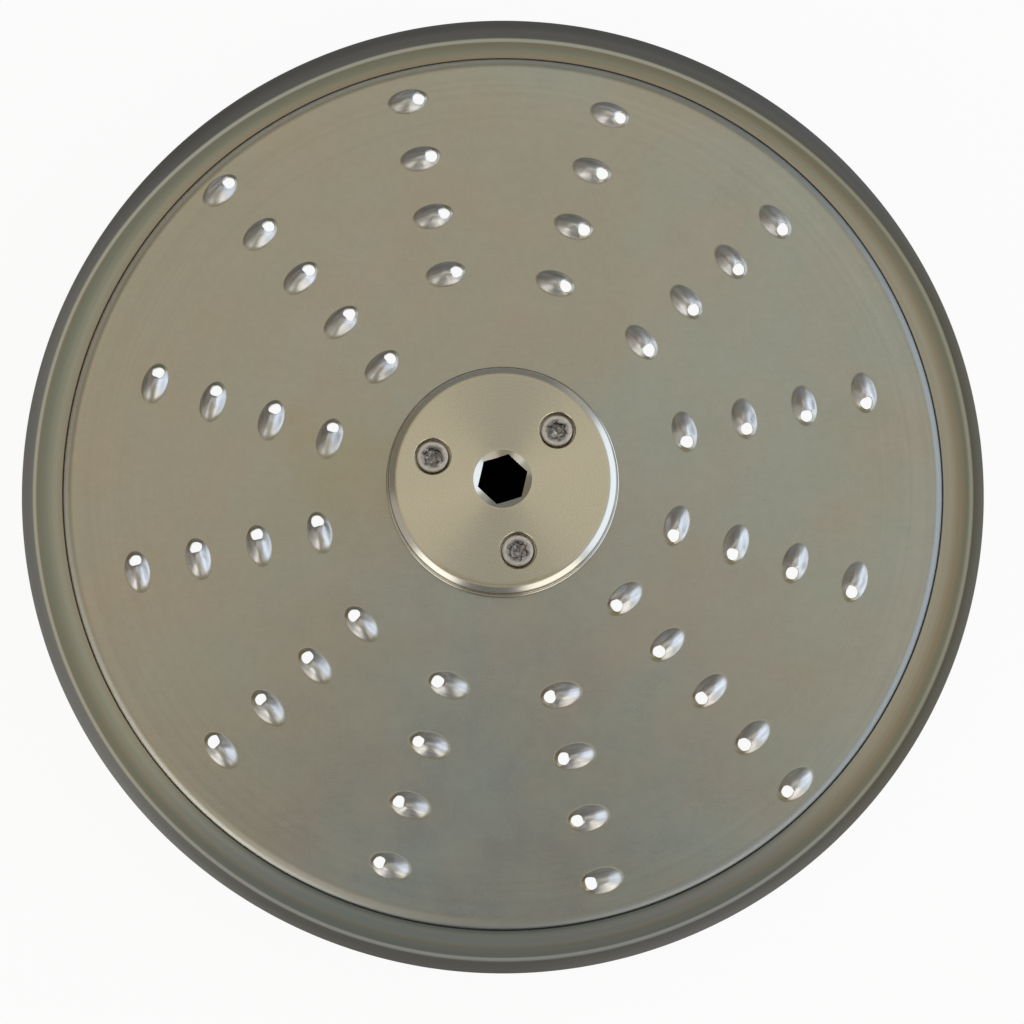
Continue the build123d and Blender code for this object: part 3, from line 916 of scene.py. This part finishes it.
def floor_finish(stage):
    """Pale floor that shows plain white, keeps a soft shadow, and is painted dark under the hub as its
    shade.
    """
    material = bpy.data.materials.new("Pale floor")
    material.use_nodes = True
    nodes = Nodes(material.node_tree)
    shader = material.node_tree.nodes["Principled BSDF"]
    shader.inputs["Roughness"].default_value = FLOOR_ROUGHNESS
    shader.inputs["Specular IOR Level"].default_value = 0.0
    path = nodes.add("ShaderNodeLightPath").outputs
    seen = nodes.math("MAXIMUM", path["Is Camera Ray"], path["Is Glossy Ray"])
    seen = nodes.math("MAXIMUM", seen, path["Is Transmission Ray"])
    coords = nodes.add("ShaderNodeTexCoord").outputs["Object"]
    # Painted shade: under the hub the floor is nearly black and shows no white.
    clear = nodes.ramp(axis_radius(nodes, coords), stage.hub_shade * HUB_SHADE_FADE, stage.hub_shade)
    nodes.feed(shader.inputs["Base Color"], nodes.mix(clear, rgba(FLOOR_SHADE_UNDER_HUB), rgba(FLOOR_PALE)))
    glow = nodes.math("MULTIPLY", nodes.math("MULTIPLY", seen, clear), stage.floor_glow)
    white = nodes.add("ShaderNodeEmission", {"Color": (1, 1, 1, 1), "Strength": 1.0}).outputs[0]
    mixed = nodes.add("ShaderNodeMixShader", {0: glow, 1: shader.outputs[0], 2: white}).outputs[0]
    nodes.feed(material.node_tree.nodes["Material Output"].inputs["Surface"], mixed)
    material.cycles.emission_sampling = "NONE"
    return material


def tent_finish():
    """Soft light of the tent: a pale top, dark sides, bright windows and a dark flag in front."""
    material = bpy.data.materials.new("Light tent")
    material.use_nodes = True
    nodes = Nodes(material.node_tree)
    coords = nodes.add("ShaderNodeTexCoord").outputs["Object"]
    way = nodes.split(nodes.vector("NORMALIZE", coords))
    azimuth = nodes.math("DEGREES", nodes.math("ARCTAN2", way[1], way[0]))
    elevation = nodes.math("DEGREES", nodes.math("ARCSINE", way[2]))
    light = nodes.mix(nodes.ramp(way[1], *TENT_FRONT_TO_BACK), rgba(TENT_FRONT), rgba(TENT_BACK))
    to_right = nodes.ramp(way[0], *TENT_LEFT_TO_RIGHT)
    top = nodes.mix(to_right, rgba(TENT_ZENITH_LEFT), rgba(TENT_ZENITH_RIGHT))
    light = nodes.mix(nodes.ramp(elevation, *TENT_TOP), light, top)
    for panel in TENT_PANELS.values():
        sides = nodes.within(azimuth, *panel.azimuths, panel.soft)
        heights = nodes.within(elevation, *panel.elevations, panel.soft)
        light = nodes.mix(nodes.math("MULTIPLY", sides, heights), light, rgba(panel.colour))
    fan = nodes.math("ARCTAN2", nodes.math("SUBTRACT", way[1], FLAG_POINT), way[0])
    sides = nodes.within(nodes.math("DEGREES", fan), *FLAG_SIDES, FLAG_SOFT)
    flag = nodes.mix(nodes.ramp(elevation, *FLAG_CHANGE), rgba(FLAG_LOW), rgba(FLAG_HIGH))
    light = nodes.mix(nodes.math("MULTIPLY", sides, nodes.ramp(elevation, *FLAG_FOOT)), light, flag)
    emission = nodes.add("ShaderNodeEmission", {"Color": light, "Strength": 1.0}).outputs[0]
    nodes.feed(material.node_tree.nodes["Material Output"].inputs["Surface"], emission)
    material.cycles.emission_sampling = "NONE"
    return material


# Pieces


def tooth_reach(plate):
    """Half the length and half the width of a dome with its root."""
    return plate.tooth_length / 2 + plate.root, plate.tooth_width / 2 + plate.root


def dome_height(plate, x, y):
    """Height of a tooth's egg-shaped dome over the sheet, in the frame of its opening."""
    half_length, half_width = tooth_reach(plate)
    off = ((x - plate.setback) / half_length) ** 2 + (y / half_width) ** 2
    return plate.tooth_height * max(1 - off, 0) ** DOME_FULLNESS


def tooth_outline(plate, margin):
    """Outline on the sheet around a tooth's root, with a margin."""
    half_length, half_width = (half + margin for half in tooth_reach(plate))
    turns = [2 * math.pi * ray / TOOTH_RAYS for ray in range(TOOTH_RAYS)]
    return [(plate.setback + half_length * math.cos(t), half_width * math.sin(t)) for t in turns]


def opening_radius(plate, way):
    """Distance from the middle of an opening to its edge: round, with a straight lip at the back."""
    round_radius = plate.opening / 2
    lip = plate.lip_setback / max(way.x, plate.lip_setback / plate.opening)
    return -smooth_max(-round_radius, -lip, plate.lip_corner)


def tooth_mesh(plate):
    """One tooth with the sheet around it: upper face, opening's wall and hollow underside."""
    outline = [Vector(point) for point in tooth_outline(plate, 0)]
    flat = [(x, y, 0) for x, y in tooth_outline(plate, plate.margin)]
    ways = [point.normalized() for point in outline]
    opening = [way * opening_radius(plate, way) for way in ways]
    edge = [point + way * plate.lip_edge for point, way in zip(opening, ways)]
    upper = []
    for ring in range(TOOTH_RINGS + 1):
        row = [a.lerp(b, ring / TOOTH_RINGS) for a, b in zip(edge, outline)]
        upper.append([(p.x, p.y, dome_height(plate, p.x, p.y)) for p in row])
    broken = [(a.x, a.y, p[2] - plate.lip_edge) for a, p in zip(opening, upper[0])]
    thinning = (plate.thickness - plate.wall) / plate.tooth_height
    under = []
    for ring in range(TOOTH_UNDER_RINGS + 1):
        row = [b.lerp(a, ring / TOOTH_UNDER_RINGS) for a, b in zip(opening, outline)]
        heights = [dome_height(plate, p.x, p.y) for p in row]
        under.append([(p.x, p.y, h - plate.thickness + thinning * h) for p, h in zip(row, heights)])
    flat_under = [(x, y, -plate.thickness) for x, y, z in flat]
    upper.append(flat)
    under.insert(0, flat_under)
    mesh = lofted("tooth", [*under, broken, *upper], closed=False)
    polish = [0.0] * (len(under) * TOOTH_RAYS) + [1.0] * TOOTH_RAYS
    for ring in range(len(upper)):
        polish += [min(1.0, max(0.0, (TOOTH_RINGS - ring) / ROOT_RINGS))] * TOOTH_RAYS
    places = [point.co for point in mesh.vertices]
    along = [(p.x / plate.opening - SHINE_START) / SHINE_RUN for p in places]
    shares = [min(1.0, max(0.0, part)) for part in along]
    set_values(mesh, "polish", [full * part for full, part in zip(polish, shares)])
    half_length, half_width = tooth_reach(plate)
    set_vectors(mesh, "dome", [(p.x / half_length, p.y / half_width, 0) for p in places])
    lower = [ring / TOOTH_UNDER_RINGS for ring in range(TOOTH_UNDER_RINGS + 1)]
    higher = [1 - ring / TOOTH_RINGS for ring in range(TOOTH_RINGS + 1)]
    set_values(mesh, "loose", [loose for loose in (0, *lower, 1, *higher, 0) for ray in range(TOOTH_RAYS)])
    return mesh


def outline_mesh(plate):
    """Closed line of a tooth's outline."""
    mesh = bpy.data.meshes.new("tooth_outline")
    points = [(x, y, 0) for x, y in tooth_outline(plate, plate.margin)]
    lines = [(number, (number + 1) % len(points)) for number in range(len(points))]
    mesh.from_pydata(points, lines, [])
    return mesh


def plate_edge_section(plate, join_radius):
    """Turned edge of the sheet, open towards the flat part."""
    bottom = plate.top - plate.thickness
    flat_radius = plate.radius - plate.edge_run
    fall = plate.top - plate.edge_fall
    bend_radius = plate.radius - plate.thickness - plate.inner_bend
    bend = bottom - plate.inner_bend
    steps = 3 * ROUND_STEPS
    turns = [math.pi / 2 * (1 - step / steps) for step in range(steps + 1)]
    outer = [(flat_radius + plate.edge_run * math.cos(t), fall + plate.edge_fall * math.sin(t))
             for t in turns]
    inner = [(bend_radius + plate.inner_bend * math.cos(t), bend + plate.inner_bend * math.sin(t))
             for t in reversed(turns)]
    foot = [(plate.radius, plate.edge_foot), (plate.radius - plate.thickness, plate.edge_foot)]
    return [(join_radius, plate.top), *outer, *foot, *inner, (join_radius, bottom)]


def worn_copies(nodes, copies, wear):
    """Teeth whose loose points are moved a little, each in its own way."""
    place = nodes.add("GeometryNodeInputPosition").outputs[0]
    flat = nodes.vector("MULTIPLY", place, Vector((1, 1, 0)))
    noise = nodes.add("ShaderNodeTexNoise", {"Vector": flat, "Scale": 1 / WEAR_SIZE, "Detail": 1.0})
    ways = nodes.vector("SUBTRACT", noise.outputs["Color"], Vector((0.5, 0.5, 0.5)))
    loose = nodes.add("GeometryNodeInputNamedAttribute", {"Name": "loose"}, data_type="FLOAT").outputs[0]
    move = nodes.math("MULTIPLY", nodes.math("MULTIPLY", loose, wear), 2.0)
    offset = nodes.scale(nodes.vector("MULTIPLY", ways, Vector((1, 1, 0))), move)
    return nodes.add("GeometryNodeSetPosition", {0: copies, "Offset": offset}).outputs[0]


def tooth_tree():
    """Tree that cuts and adds the teeth: flat sheet between the edge, the hub and the outlines."""
    nodes, inputs = node_tree(
        "Grating teeth",
        {
            "Rows": "Int",
            "Rows in Spiral": "Int",
            "Teeth in Row": "Int",
            "First Radius": "Float",
            "Last Radius": "Float",
            "Pitch": "Float",
            "First Angle": "Float",
            "Top": "Float",
            "Thickness": "Float",
            "Join Radius": "Float",
            "Hole Radius": "Float",
            "Wear": "Float",
            "Tooth": "Object",
            "Outline": "Object",
            "Material": "Material",
        },
    )
    index = nodes.add("GeometryNodeInputIndex").outputs[0]
    row = nodes.math("FLOOR", nodes.math("DIVIDE", index, inputs["Teeth in Row"]))
    place_in_row = nodes.math("FLOORED_MODULO", index, inputs["Teeth in Row"])
    step = nodes.math("FLOORED_MODULO", row, inputs["Rows in Spiral"])
    step_out = nodes.math("SUBTRACT", 1.0, nodes.math("DIVIDE", step, inputs["Rows in Spiral"]))
    pitches = nodes.math("FRACT", nodes.math("ADD", step_out, STEP_SLACK))
    radius = nodes.math("MULTIPLY_ADD", nodes.math("ADD", place_in_row, pitches), inputs["Pitch"],
                        inputs["First Radius"])
    row_angle = nodes.math("DIVIDE", 2 * math.pi, inputs["Rows"])
    turn = nodes.math("SUBTRACT", inputs["First Angle"], nodes.math("MULTIPLY", row, row_angle))
    number = nodes.math("MULTIPLY", inputs["Rows"], inputs["Teeth in Row"])
    place = polar_point(nodes, radius, turn, 0.0)
    points = nodes.add("GeometryNodePoints", {"Count": number, "Position": place}).outputs[0]
    reach = nodes.vector("LENGTH", nodes.add("GeometryNodeInputPosition").outputs[0])
    beyond = nodes.math("GREATER_THAN", reach, inputs["Last Radius"])
    points = nodes.add("GeometryNodeDeleteGeometry", {0: points, "Selection": beyond}).outputs[0]

    tooth = nodes.add("GeometryNodeObjectInfo", {"Object": inputs["Tooth"]}).outputs["Geometry"]
    teeth = worn_copies(nodes, turned_copies(nodes, points, tooth, math.pi / 2), inputs["Wear"])
    line = nodes.add("GeometryNodeObjectInfo", {"Object": inputs["Outline"]}).outputs["Geometry"]
    line = nodes.add("GeometryNodeMeshToCurve", {0: line}).outputs[0]
    outlines = turned_copies(nodes, points, line, math.pi / 2)
    circles = [
        nodes.add("GeometryNodeCurvePrimitiveCircle", {"Resolution": rays, "Radius": size}).outputs[0]
        for rays, size in ((PLATE_RAYS, inputs["Join Radius"]), (HOLE_RAYS, inputs["Hole Radius"]))
    ]
    curves = nodes.add("GeometryNodeJoinGeometry")
    for curve in (outlines, *circles):
        nodes.tree.links.new(curve, curves.inputs[0])
    flat = nodes.add("GeometryNodeFillCurve", {0: curves.outputs[0]}).outputs[0]
    under = nodes.add("GeometryNodeFlipFaces", {0: flat}).outputs[0]
    down = nodes.math("MULTIPLY", inputs["Thickness"], -1.0)
    under = nodes.add("GeometryNodeTransform", {0: under, "Translation": nodes.join(0.0, 0.0, down)})
    wall = nodes.add(
        "GeometryNodeMeshCylinder",
        {
            "Vertices": HOLE_RAYS,
            "Radius": inputs["Hole Radius"],
            "Depth": inputs["Thickness"],
        },
        fill_type="NONE",
    ).outputs[0]
    half_down = nodes.math("MULTIPLY", inputs["Thickness"], -0.5)
    wall = nodes.add("GeometryNodeTransform", {0: wall, "Translation": nodes.join(0.0, 0.0, half_down)})
    sheet = nodes.add("GeometryNodeJoinGeometry")
    for part in (teeth, flat, under.outputs[0], wall.outputs[0]):
        nodes.tree.links.new(part, sheet.inputs[0])
    up = nodes.join(0.0, 0.0, inputs["Top"])
    raised = nodes.add("GeometryNodeTransform", {0: sheet.outputs[0], "Translation": up})
    whole = nodes.add("GeometryNodeJoinGeometry")
    for part in (raised.outputs[0], inputs["Geometry"]):
        nodes.tree.links.new(part, whole.inputs[0])
    realized = nodes.add("GeometryNodeRealizeInstances", {0: whole.outputs[0]}).outputs[0]
    dressed = nodes.add("GeometryNodeSetMaterial", {0: realized, "Material": inputs["Material"]})
    nodes.add("NodeGroupOutput", {0: dressed.outputs[0]})
    return nodes


def rim_section(rim, plate):
    """Outline of the ring, from the channel outwards and back under the plate's edge."""
    fine = rim.broken_edge
    channel_inner = plate.radius + rim.seam
    channel_top = plate.top - rim.channel_drop
    land_outer = rim.radius - rim.edge_width
    land_inner = land_outer - rim.land_width
    edge_foot = rim.land - rim.edge_depth
    web = plate.edge_foot - rim.web
    groove = plate.radius - plate.thickness - rim.clearance
    spigot_inner = groove - rim.spigot
    spigot_top = plate.edge_foot + rim.spigot_height
    skirt_inner = rim.radius - rim.skirt
    upper = []
    for step in range(RIM_STEPS):
        radius = channel_inner + fine + (rim.radius - channel_inner - fine) * step / RIM_STEPS
        along = (radius - channel_inner) / (land_inner - channel_inner)
        rise = (rim.land - channel_top) * along
        channel = channel_top + rise - 4 * rim.channel_sag * along * (1 - along)
        out = max(radius - land_outer, 0) / rim.edge_width
        crest = rim.land - rim.edge_depth * out + 4 * rim.edge_bulge * out * (1 - out)
        upper.append((radius, -smooth_max(-channel, -crest, rim.crest_blend), 0))
    lower = [
        (rim.radius, rim.foot + rim.chamfer, fine),
        (rim.radius - rim.chamfer, rim.foot, fine),
        (skirt_inner, rim.foot, fine),
        (skirt_inner, web, 2 * fine),
        (spigot_inner, web, fine),
        (spigot_inner, spigot_top, fine),
        (groove, spigot_top, fine),
        (groove, plate.edge_foot, 0),
        (channel_inner, plate.edge_foot, 0),
        (channel_inner, channel_top - fine, 0),
    ]
    return softened([*upper, (rim.radius, edge_foot, 1.5 * fine), *lower])


def cap_section(cap, turn):
    """Outline of the cap at an angle: six-sided bore, lead-in, bevelled edge and foot."""
    wall = cap.radius - cap.foot_width
    bore = hexagon_radius(cap, turn)
    mouth = cap.lead_in / 2
    fine = cap.broken_edge
    foot_top = cap.bottom + cap.foot_height
    return softened(
        [
            (bore, cap.bottom, 0),
            (cap.radius, cap.bottom, 0),
            (cap.radius, foot_top, cap.foot_edge),
            (wall, foot_top, fine),
            (wall, cap.top - cap.edge_fall, cap.wall_blend),
            (wall - cap.edge_run, cap.top, cap.face_blend),
            (mouth, cap.top, fine),
            (bore, cap.top - (mouth - bore) * math.tan(cap.lead_in_slope), 0),
        ]
    )


def counterbore_section(cap, screws):
    """Outline of the tool that cuts a counterbore and a shank's hole in the cap."""
    hole = screws.shank / 2 + screws.shank_room
    bore = screws.head / 2 + screws.head_room
    seat = screws.top - screws.head_height
    fine = cap.broken_edge
    past = cap.edge_run
    return [
        (0, cap.bottom - past),
        (hole, cap.bottom - past),
        (hole, seat),
        (bore, seat),
        (bore, cap.top - fine),
        (bore + fine + past, cap.top + past),
        (0, cap.top + past),
    ]


def counterbore_tree():
    """Tree that cuts a ring of like holes."""
    nodes, inputs = node_tree(
        "Counterbores",
        {
            "Number": "Int",
            "Circle": "Float",
            "First Angle": "Float",
            "Cutter": "Object",
            "Material": "Material",
        },
    )
    points = ring_of_points(nodes, inputs["Number"], inputs["Circle"], inputs["First Angle"])
    cutter = nodes.add("GeometryNodeObjectInfo", {"Object": inputs["Cutter"]}).outputs["Geometry"]
    cutters = turned_copies(nodes, points, cutter, 0.0)
    cut = nodes.add(
        "GeometryNodeMeshBoolean",
        {"Mesh 1": inputs["Geometry"], "Mesh 2": cutters},
        operation="DIFFERENCE",
        solver="EXACT",
    ).outputs[0]
    whole = nodes.add("GeometryNodeRealizeInstances", {0: cut}).outputs[0]
    dressed = nodes.add("GeometryNodeSetMaterial", {0: whole, "Material": inputs["Material"]})
    nodes.add("NodeGroupOutput", {0: dressed.outputs[0]})
    return nodes


def hub_section(hub, cap, plate, turn):
    """Outline of the drive hub at an angle: foot, boss, flange, spigot and six-sided bore."""
    bore = hexagon_radius(cap, turn)
    mouth = cap.lead_in / 2
    fine = cap.broken_edge
    boss = hub.boss / 2
    bottom = plate.top - plate.thickness
    flange_foot = bottom - hub.flange
    chamfer = hub.chamfer
    return softened(
        [
            (bore, (mouth - bore) * math.tan(cap.lead_in_slope), 0),
            (mouth, 0, fine),
            (boss - chamfer, 0, fine),
            (boss, chamfer, fine),
            (boss, flange_foot, 2 * fine),
            (hub.flange_radius - chamfer, flange_foot, fine),
            (hub.flange_radius, flange_foot + chamfer, fine),
            (hub.flange_radius, bottom, fine),
            (hub.spigot / 2, bottom, 0),
            (hub.spigot / 2, hub.top, fine),
            (bore, hub.top, 0),
        ]
    )


def screw_section(screws, turn):
    """Outline of a screw at an angle: lobed drive, round-edged head and shank."""
    wave = (1 + math.cos(screws.lobes * turn)) / 2
    drive = screws.drive / 2 * (1 - screws.lobe_depth * (1 - wave))
    floor = screws.top - screws.drive_depth
    fine = screws.head_edge / 6
    seat = screws.top - screws.head_height
    return [
        (0, floor - 2 * fine),
        (drive * 0.5, floor - fine),
        (drive - fine, floor),
        (drive, floor + fine),
        (drive, screws.top - fine),
        (drive + fine, screws.top),
        *softened(
            [
                (drive + 3 * fine, screws.top, 0),
                (screws.head / 2, screws.top, screws.head_edge),
                (screws.head / 2, seat, fine),
                (screws.shank / 2, seat, 0),
                (screws.shank / 2, screws.tip, 3 * fine),
                (0, screws.tip, 0),
            ]
        ),
    ]


def screw_mesh(screws):
    """One screw on the Z axis, with a mark where its drive is that darkens it."""
    mesh = turned("screw", lambda turn: screw_section(screws, turn), SCREW_RAYS)
    reach = screws.drive * DRIVE_DARK_REACH
    grime = []
    for point in mesh.vertices:
        near_drive = math.hypot(point.co.x, point.co.y) < reach
        grime.append(1.0 if near_drive and point.co.z > screws.tip + screws.head_height else 0.0)
    set_values(mesh, "grime", grime)
    return mesh


def screw_tree():
    """Tree that stands a ring of like screws around the hub."""
    nodes, inputs = node_tree(
        "Hub screws",
        {
            "Number": "Int",
            "Circle": "Float",
            "First Angle": "Float",
            "Screw": "Object",
            "Material": "Material",
        },
    )
    points = ring_of_points(nodes, inputs["Number"], inputs["Circle"], inputs["First Angle"])
    screw = nodes.add("GeometryNodeObjectInfo", {"Object": inputs["Screw"]}).outputs["Geometry"]
    copies = turned_copies(nodes, points, screw, 0.0)
    dressed = nodes.add("GeometryNodeSetMaterial", {0: copies, "Material": inputs["Material"]})
    nodes.add("NodeGroupOutput", {0: dressed.outputs[0]})
    return nodes


class GRATINGDISC_OT_plate(bpy.types.Operator):
    """Make the toothed plate"""

    bl_idname = "grating_disc.plate"
    bl_label = "Grating Plate"

    def execute(self, context):
        settings = context.scene.grating_disc
        plate = settings.plate
        flat_radius = plate.radius - plate.edge_run
        last = flat_radius - plate.tooth_width / 2 - 2 * plate.lip_edge
        join_radius = flat_radius - plate.lip_edge / 2
        edge = plate_edge_section(plate, join_radius)
        piece = new_object("grating_plate_steel", turned_sheet("plate_edge", edge, PLATE_RAYS))
        tooth = new_object("tooth", tooth_mesh(plate))
        outline = new_object("tooth_outline", outline_mesh(plate))
        values = {
            "Rows": plate.rows,
            "Rows in Spiral": plate.rows_in_spiral,
            "Teeth in Row": int((last - plate.first_radius) / plate.pitch) + 1,
            "First Radius": plate.first_radius,
            "Last Radius": last,
            "Pitch": plate.pitch,
            "First Angle": plate.first_angle,
            "Top": plate.top,
            "Thickness": plate.thickness,
            "Join Radius": join_radius,
            "Hole Radius": plate.hole,
            "Wear": plate.wear,
            "Tooth": tooth,
            "Outline": outline,
            "Material": plate_finish(settings.finish),
        }
        run_tree(piece, tooth_tree(), values)
        tidy(piece.data)
        bpy.data.objects.remove(tooth)
        bpy.data.objects.remove(outline)
        finish_piece(piece, "grating_plate")
        return {"FINISHED"}


class GRATINGDISC_OT_rim(bpy.types.Operator):
    """Make the ring around the plate"""

    bl_idname = "grating_disc.rim"
    bl_label = "Rim Ring"

    def execute(self, context):
        settings = context.scene.grating_disc
        outline = rim_section(settings.rim, settings.plate)
        mesh = turned("rim_ring_steel", lambda turn: outline, RIM_RAYS)
        tidy(mesh)
        mesh.materials.append(rim_finish(settings.finish))
        finish_piece(new_object("rim_ring_steel", mesh), "rim_ring")
        return {"FINISHED"}


class GRATINGDISC_OT_cap(bpy.types.Operator):
    """Make the cap of the hub"""

    bl_idname = "grating_disc.cap"
    bl_label = "Hub Cap"

    def execute(self, context):
        settings = context.scene.grating_disc
        cap = settings.cap
        screws = settings.screws
        body = turned("hub_cap_steel", lambda turn: cap_section(cap, turn), CAP_RAYS, cap.bore_angle)
        tidy(body)
        piece = new_object("hub_cap_steel", body)
        outline = counterbore_section(cap, screws)
        tool = turned("counterbore", lambda turn: outline, HOLE_RAYS)
        tidy(tool)
        cutter = new_object("counterbore", tool)
        values = {
            "Number": screws.number,
            "Circle": screws.circle,
            "First Angle": screws.first_angle,
            "Cutter": cutter,
            "Material": hub_finish(settings.finish, cap),
        }
        run_tree(piece, counterbore_tree(), values)
        tidy(piece.data)
        bpy.data.objects.remove(cutter)
        finish_piece(piece, "hub_cap")
        return {"FINISHED"}


class GRATINGDISC_OT_hub(bpy.types.Operator):
    """Make the drive hub under the plate"""

    bl_idname = "grating_disc.hub"
    bl_label = "Drive Hub"

    def execute(self, context):
        settings = context.scene.grating_disc
        cap = settings.cap

        def section(turn):
            return hub_section(settings.hub, cap, settings.plate, turn)

        mesh = turned("drive_hub_steel", section, CAP_RAYS, cap.bore_angle)
        tidy(mesh)
        mesh.materials.append(bpy.data.materials["Turned hub"])
        finish_piece(new_object("drive_hub_steel", mesh), "drive_hub")
        return {"FINISHED"}


class GRATINGDISC_OT_screws(bpy.types.Operator):
    """Make the screws of the hub"""

    bl_idname = "grating_disc.screws"
    bl_label = "Hub Screws"

    def execute(self, context):
        settings = context.scene.grating_disc
        screws = settings.screws
        mesh = screw_mesh(screws)
        tidy(mesh)
        screw = new_object("screw", mesh)
        piece = new_object("hub_screws_steel", bpy.data.meshes.new("hub_screws_steel"))
        values = {
            "Number": screws.number,
            "Circle": screws.circle,
            "First Angle": screws.first_angle,
            "Screw": screw,
            "Material": screw_finish(settings.finish),
        }
        run_tree(piece, screw_tree(), values)
        tidy(piece.data)
        bpy.data.objects.remove(screw)
        finish_piece(piece, "hub_screws")
        return {"FINISHED"}


class GRATINGDISC_OT_stage(bpy.types.Operator):
    """Make the floor, the light tent and the camera"""

    bl_idname = "grating_disc.stage"
    bl_label = "Stage"

    def execute(self, context):
        settings = context.scene.grating_disc
        stage = settings.stage
        scene = context.scene
        scene.view_settings.view_transform = "Standard"

        world = bpy.data.worlds.new("White surroundings")
        world.use_nodes = True
        world.node_tree.nodes["Background"].inputs["Color"].default_value = (1, 1, 1, 1)
        scene.world = world

        floor_form = bmesh.new()
        bmesh.ops.create_circle(floor_form, cap_ends=True, segments=FLOOR_SIDES, radius=stage.floor)
        floor_mesh = bpy.data.meshes.new("floor")
        floor_form.to_mesh(floor_mesh)
        floor_form.free()
        floor_mesh.materials.append(floor_finish(stage))
        floor = new_object("floor", floor_mesh)

        tent_form = bmesh.new()
        bmesh.ops.create_uvsphere(
            tent_form, u_segments=TENT_SIDES, v_segments=TENT_SIDES // 2, radius=stage.tent
        )
        tent_mesh = bpy.data.meshes.new("light_tent")
        tent_form.to_mesh(tent_mesh)
        tent_form.free()
        tent_mesh.materials.append(tent_finish())
        tent = new_object("light_tent", tent_mesh)
        tent.visible_camera = False

        lens = bpy.data.cameras.new("camera")
        lens.lens = stage.lens
        lens.shift_x = stage.shift_x
        lens.shift_y = stage.shift_y
        camera = bpy.data.objects.new("camera", lens)
        scene.collection.objects.link(camera)
        lean = Vector((-math.sin(stage.sway), -math.sin(stage.tilt), math.cos(stage.tilt)))
        camera.location = Vector((0, 0, settings.plate.top)) + lean * stage.distance
        camera.rotation_euler = (stage.tilt, -stage.sway, 0)
        scene.camera = camera
        return {"FINISHED"}


class VIEW3D_PT_grating_disc(bpy.types.Panel):
    """Settings and steps of the grating disc"""

    bl_label = "Grating Disc"
    bl_space_type = "VIEW_3D"
    bl_region_type = "UI"
    bl_category = "Grating Disc"

    def draw(self, context):
        settings = context.scene.grating_disc
        for step in STEPS:
            self.layout.operator(step.bl_idname)
        for group in settings.bl_rna.properties:
            if group.type != "POINTER" or group.identifier == "rna_type":
                continue
            box = self.layout.box()
            box.label(text=group.name)
            values = getattr(settings, group.identifier)
            for value in values.bl_rna.properties:
                if value.identifier not in ("rna_type", "name"):
                    box.prop(values, value.identifier)


STEPS = (
    GRATINGDISC_OT_plate,
    GRATINGDISC_OT_rim,
    GRATINGDISC_OT_cap,
    GRATINGDISC_OT_hub,
    GRATINGDISC_OT_screws,
    GRATINGDISC_OT_stage,
)

CLASSES = (
    PlateSettings,
    RimSettings,
    CapSettings,
    HubSettings,
    ScrewSettings,
    FinishSettings,
    StageSettings,
    DiscSettings,
    *STEPS,
    VIEW3D_PT_grating_disc,
)


def register():
    """Register the classes and the scene's settings."""
    for entry in CLASSES:
        bpy.utils.register_class(entry)
    bpy.types.Scene.grating_disc = bpy.props.PointerProperty(
        type=DiscSettings, name="Grating disc", description="Settings of the grating disc"
    )


def unregister():
    """Take the settings and the classes out again."""
    del bpy.types.Scene.grating_disc
    for entry in reversed(CLASSES):
        bpy.utils.unregister_class(entry)


def main():
    """Build the disc and its stage."""
    register()
    bpy.ops.grating_disc.plate()
    bpy.ops.grating_disc.rim()
    bpy.ops.grating_disc.cap()
    bpy.ops.grating_disc.hub()
    bpy.ops.grating_disc.screws()
    bpy.ops.grating_disc.stage()


if __name__ == "__main__":
    main()
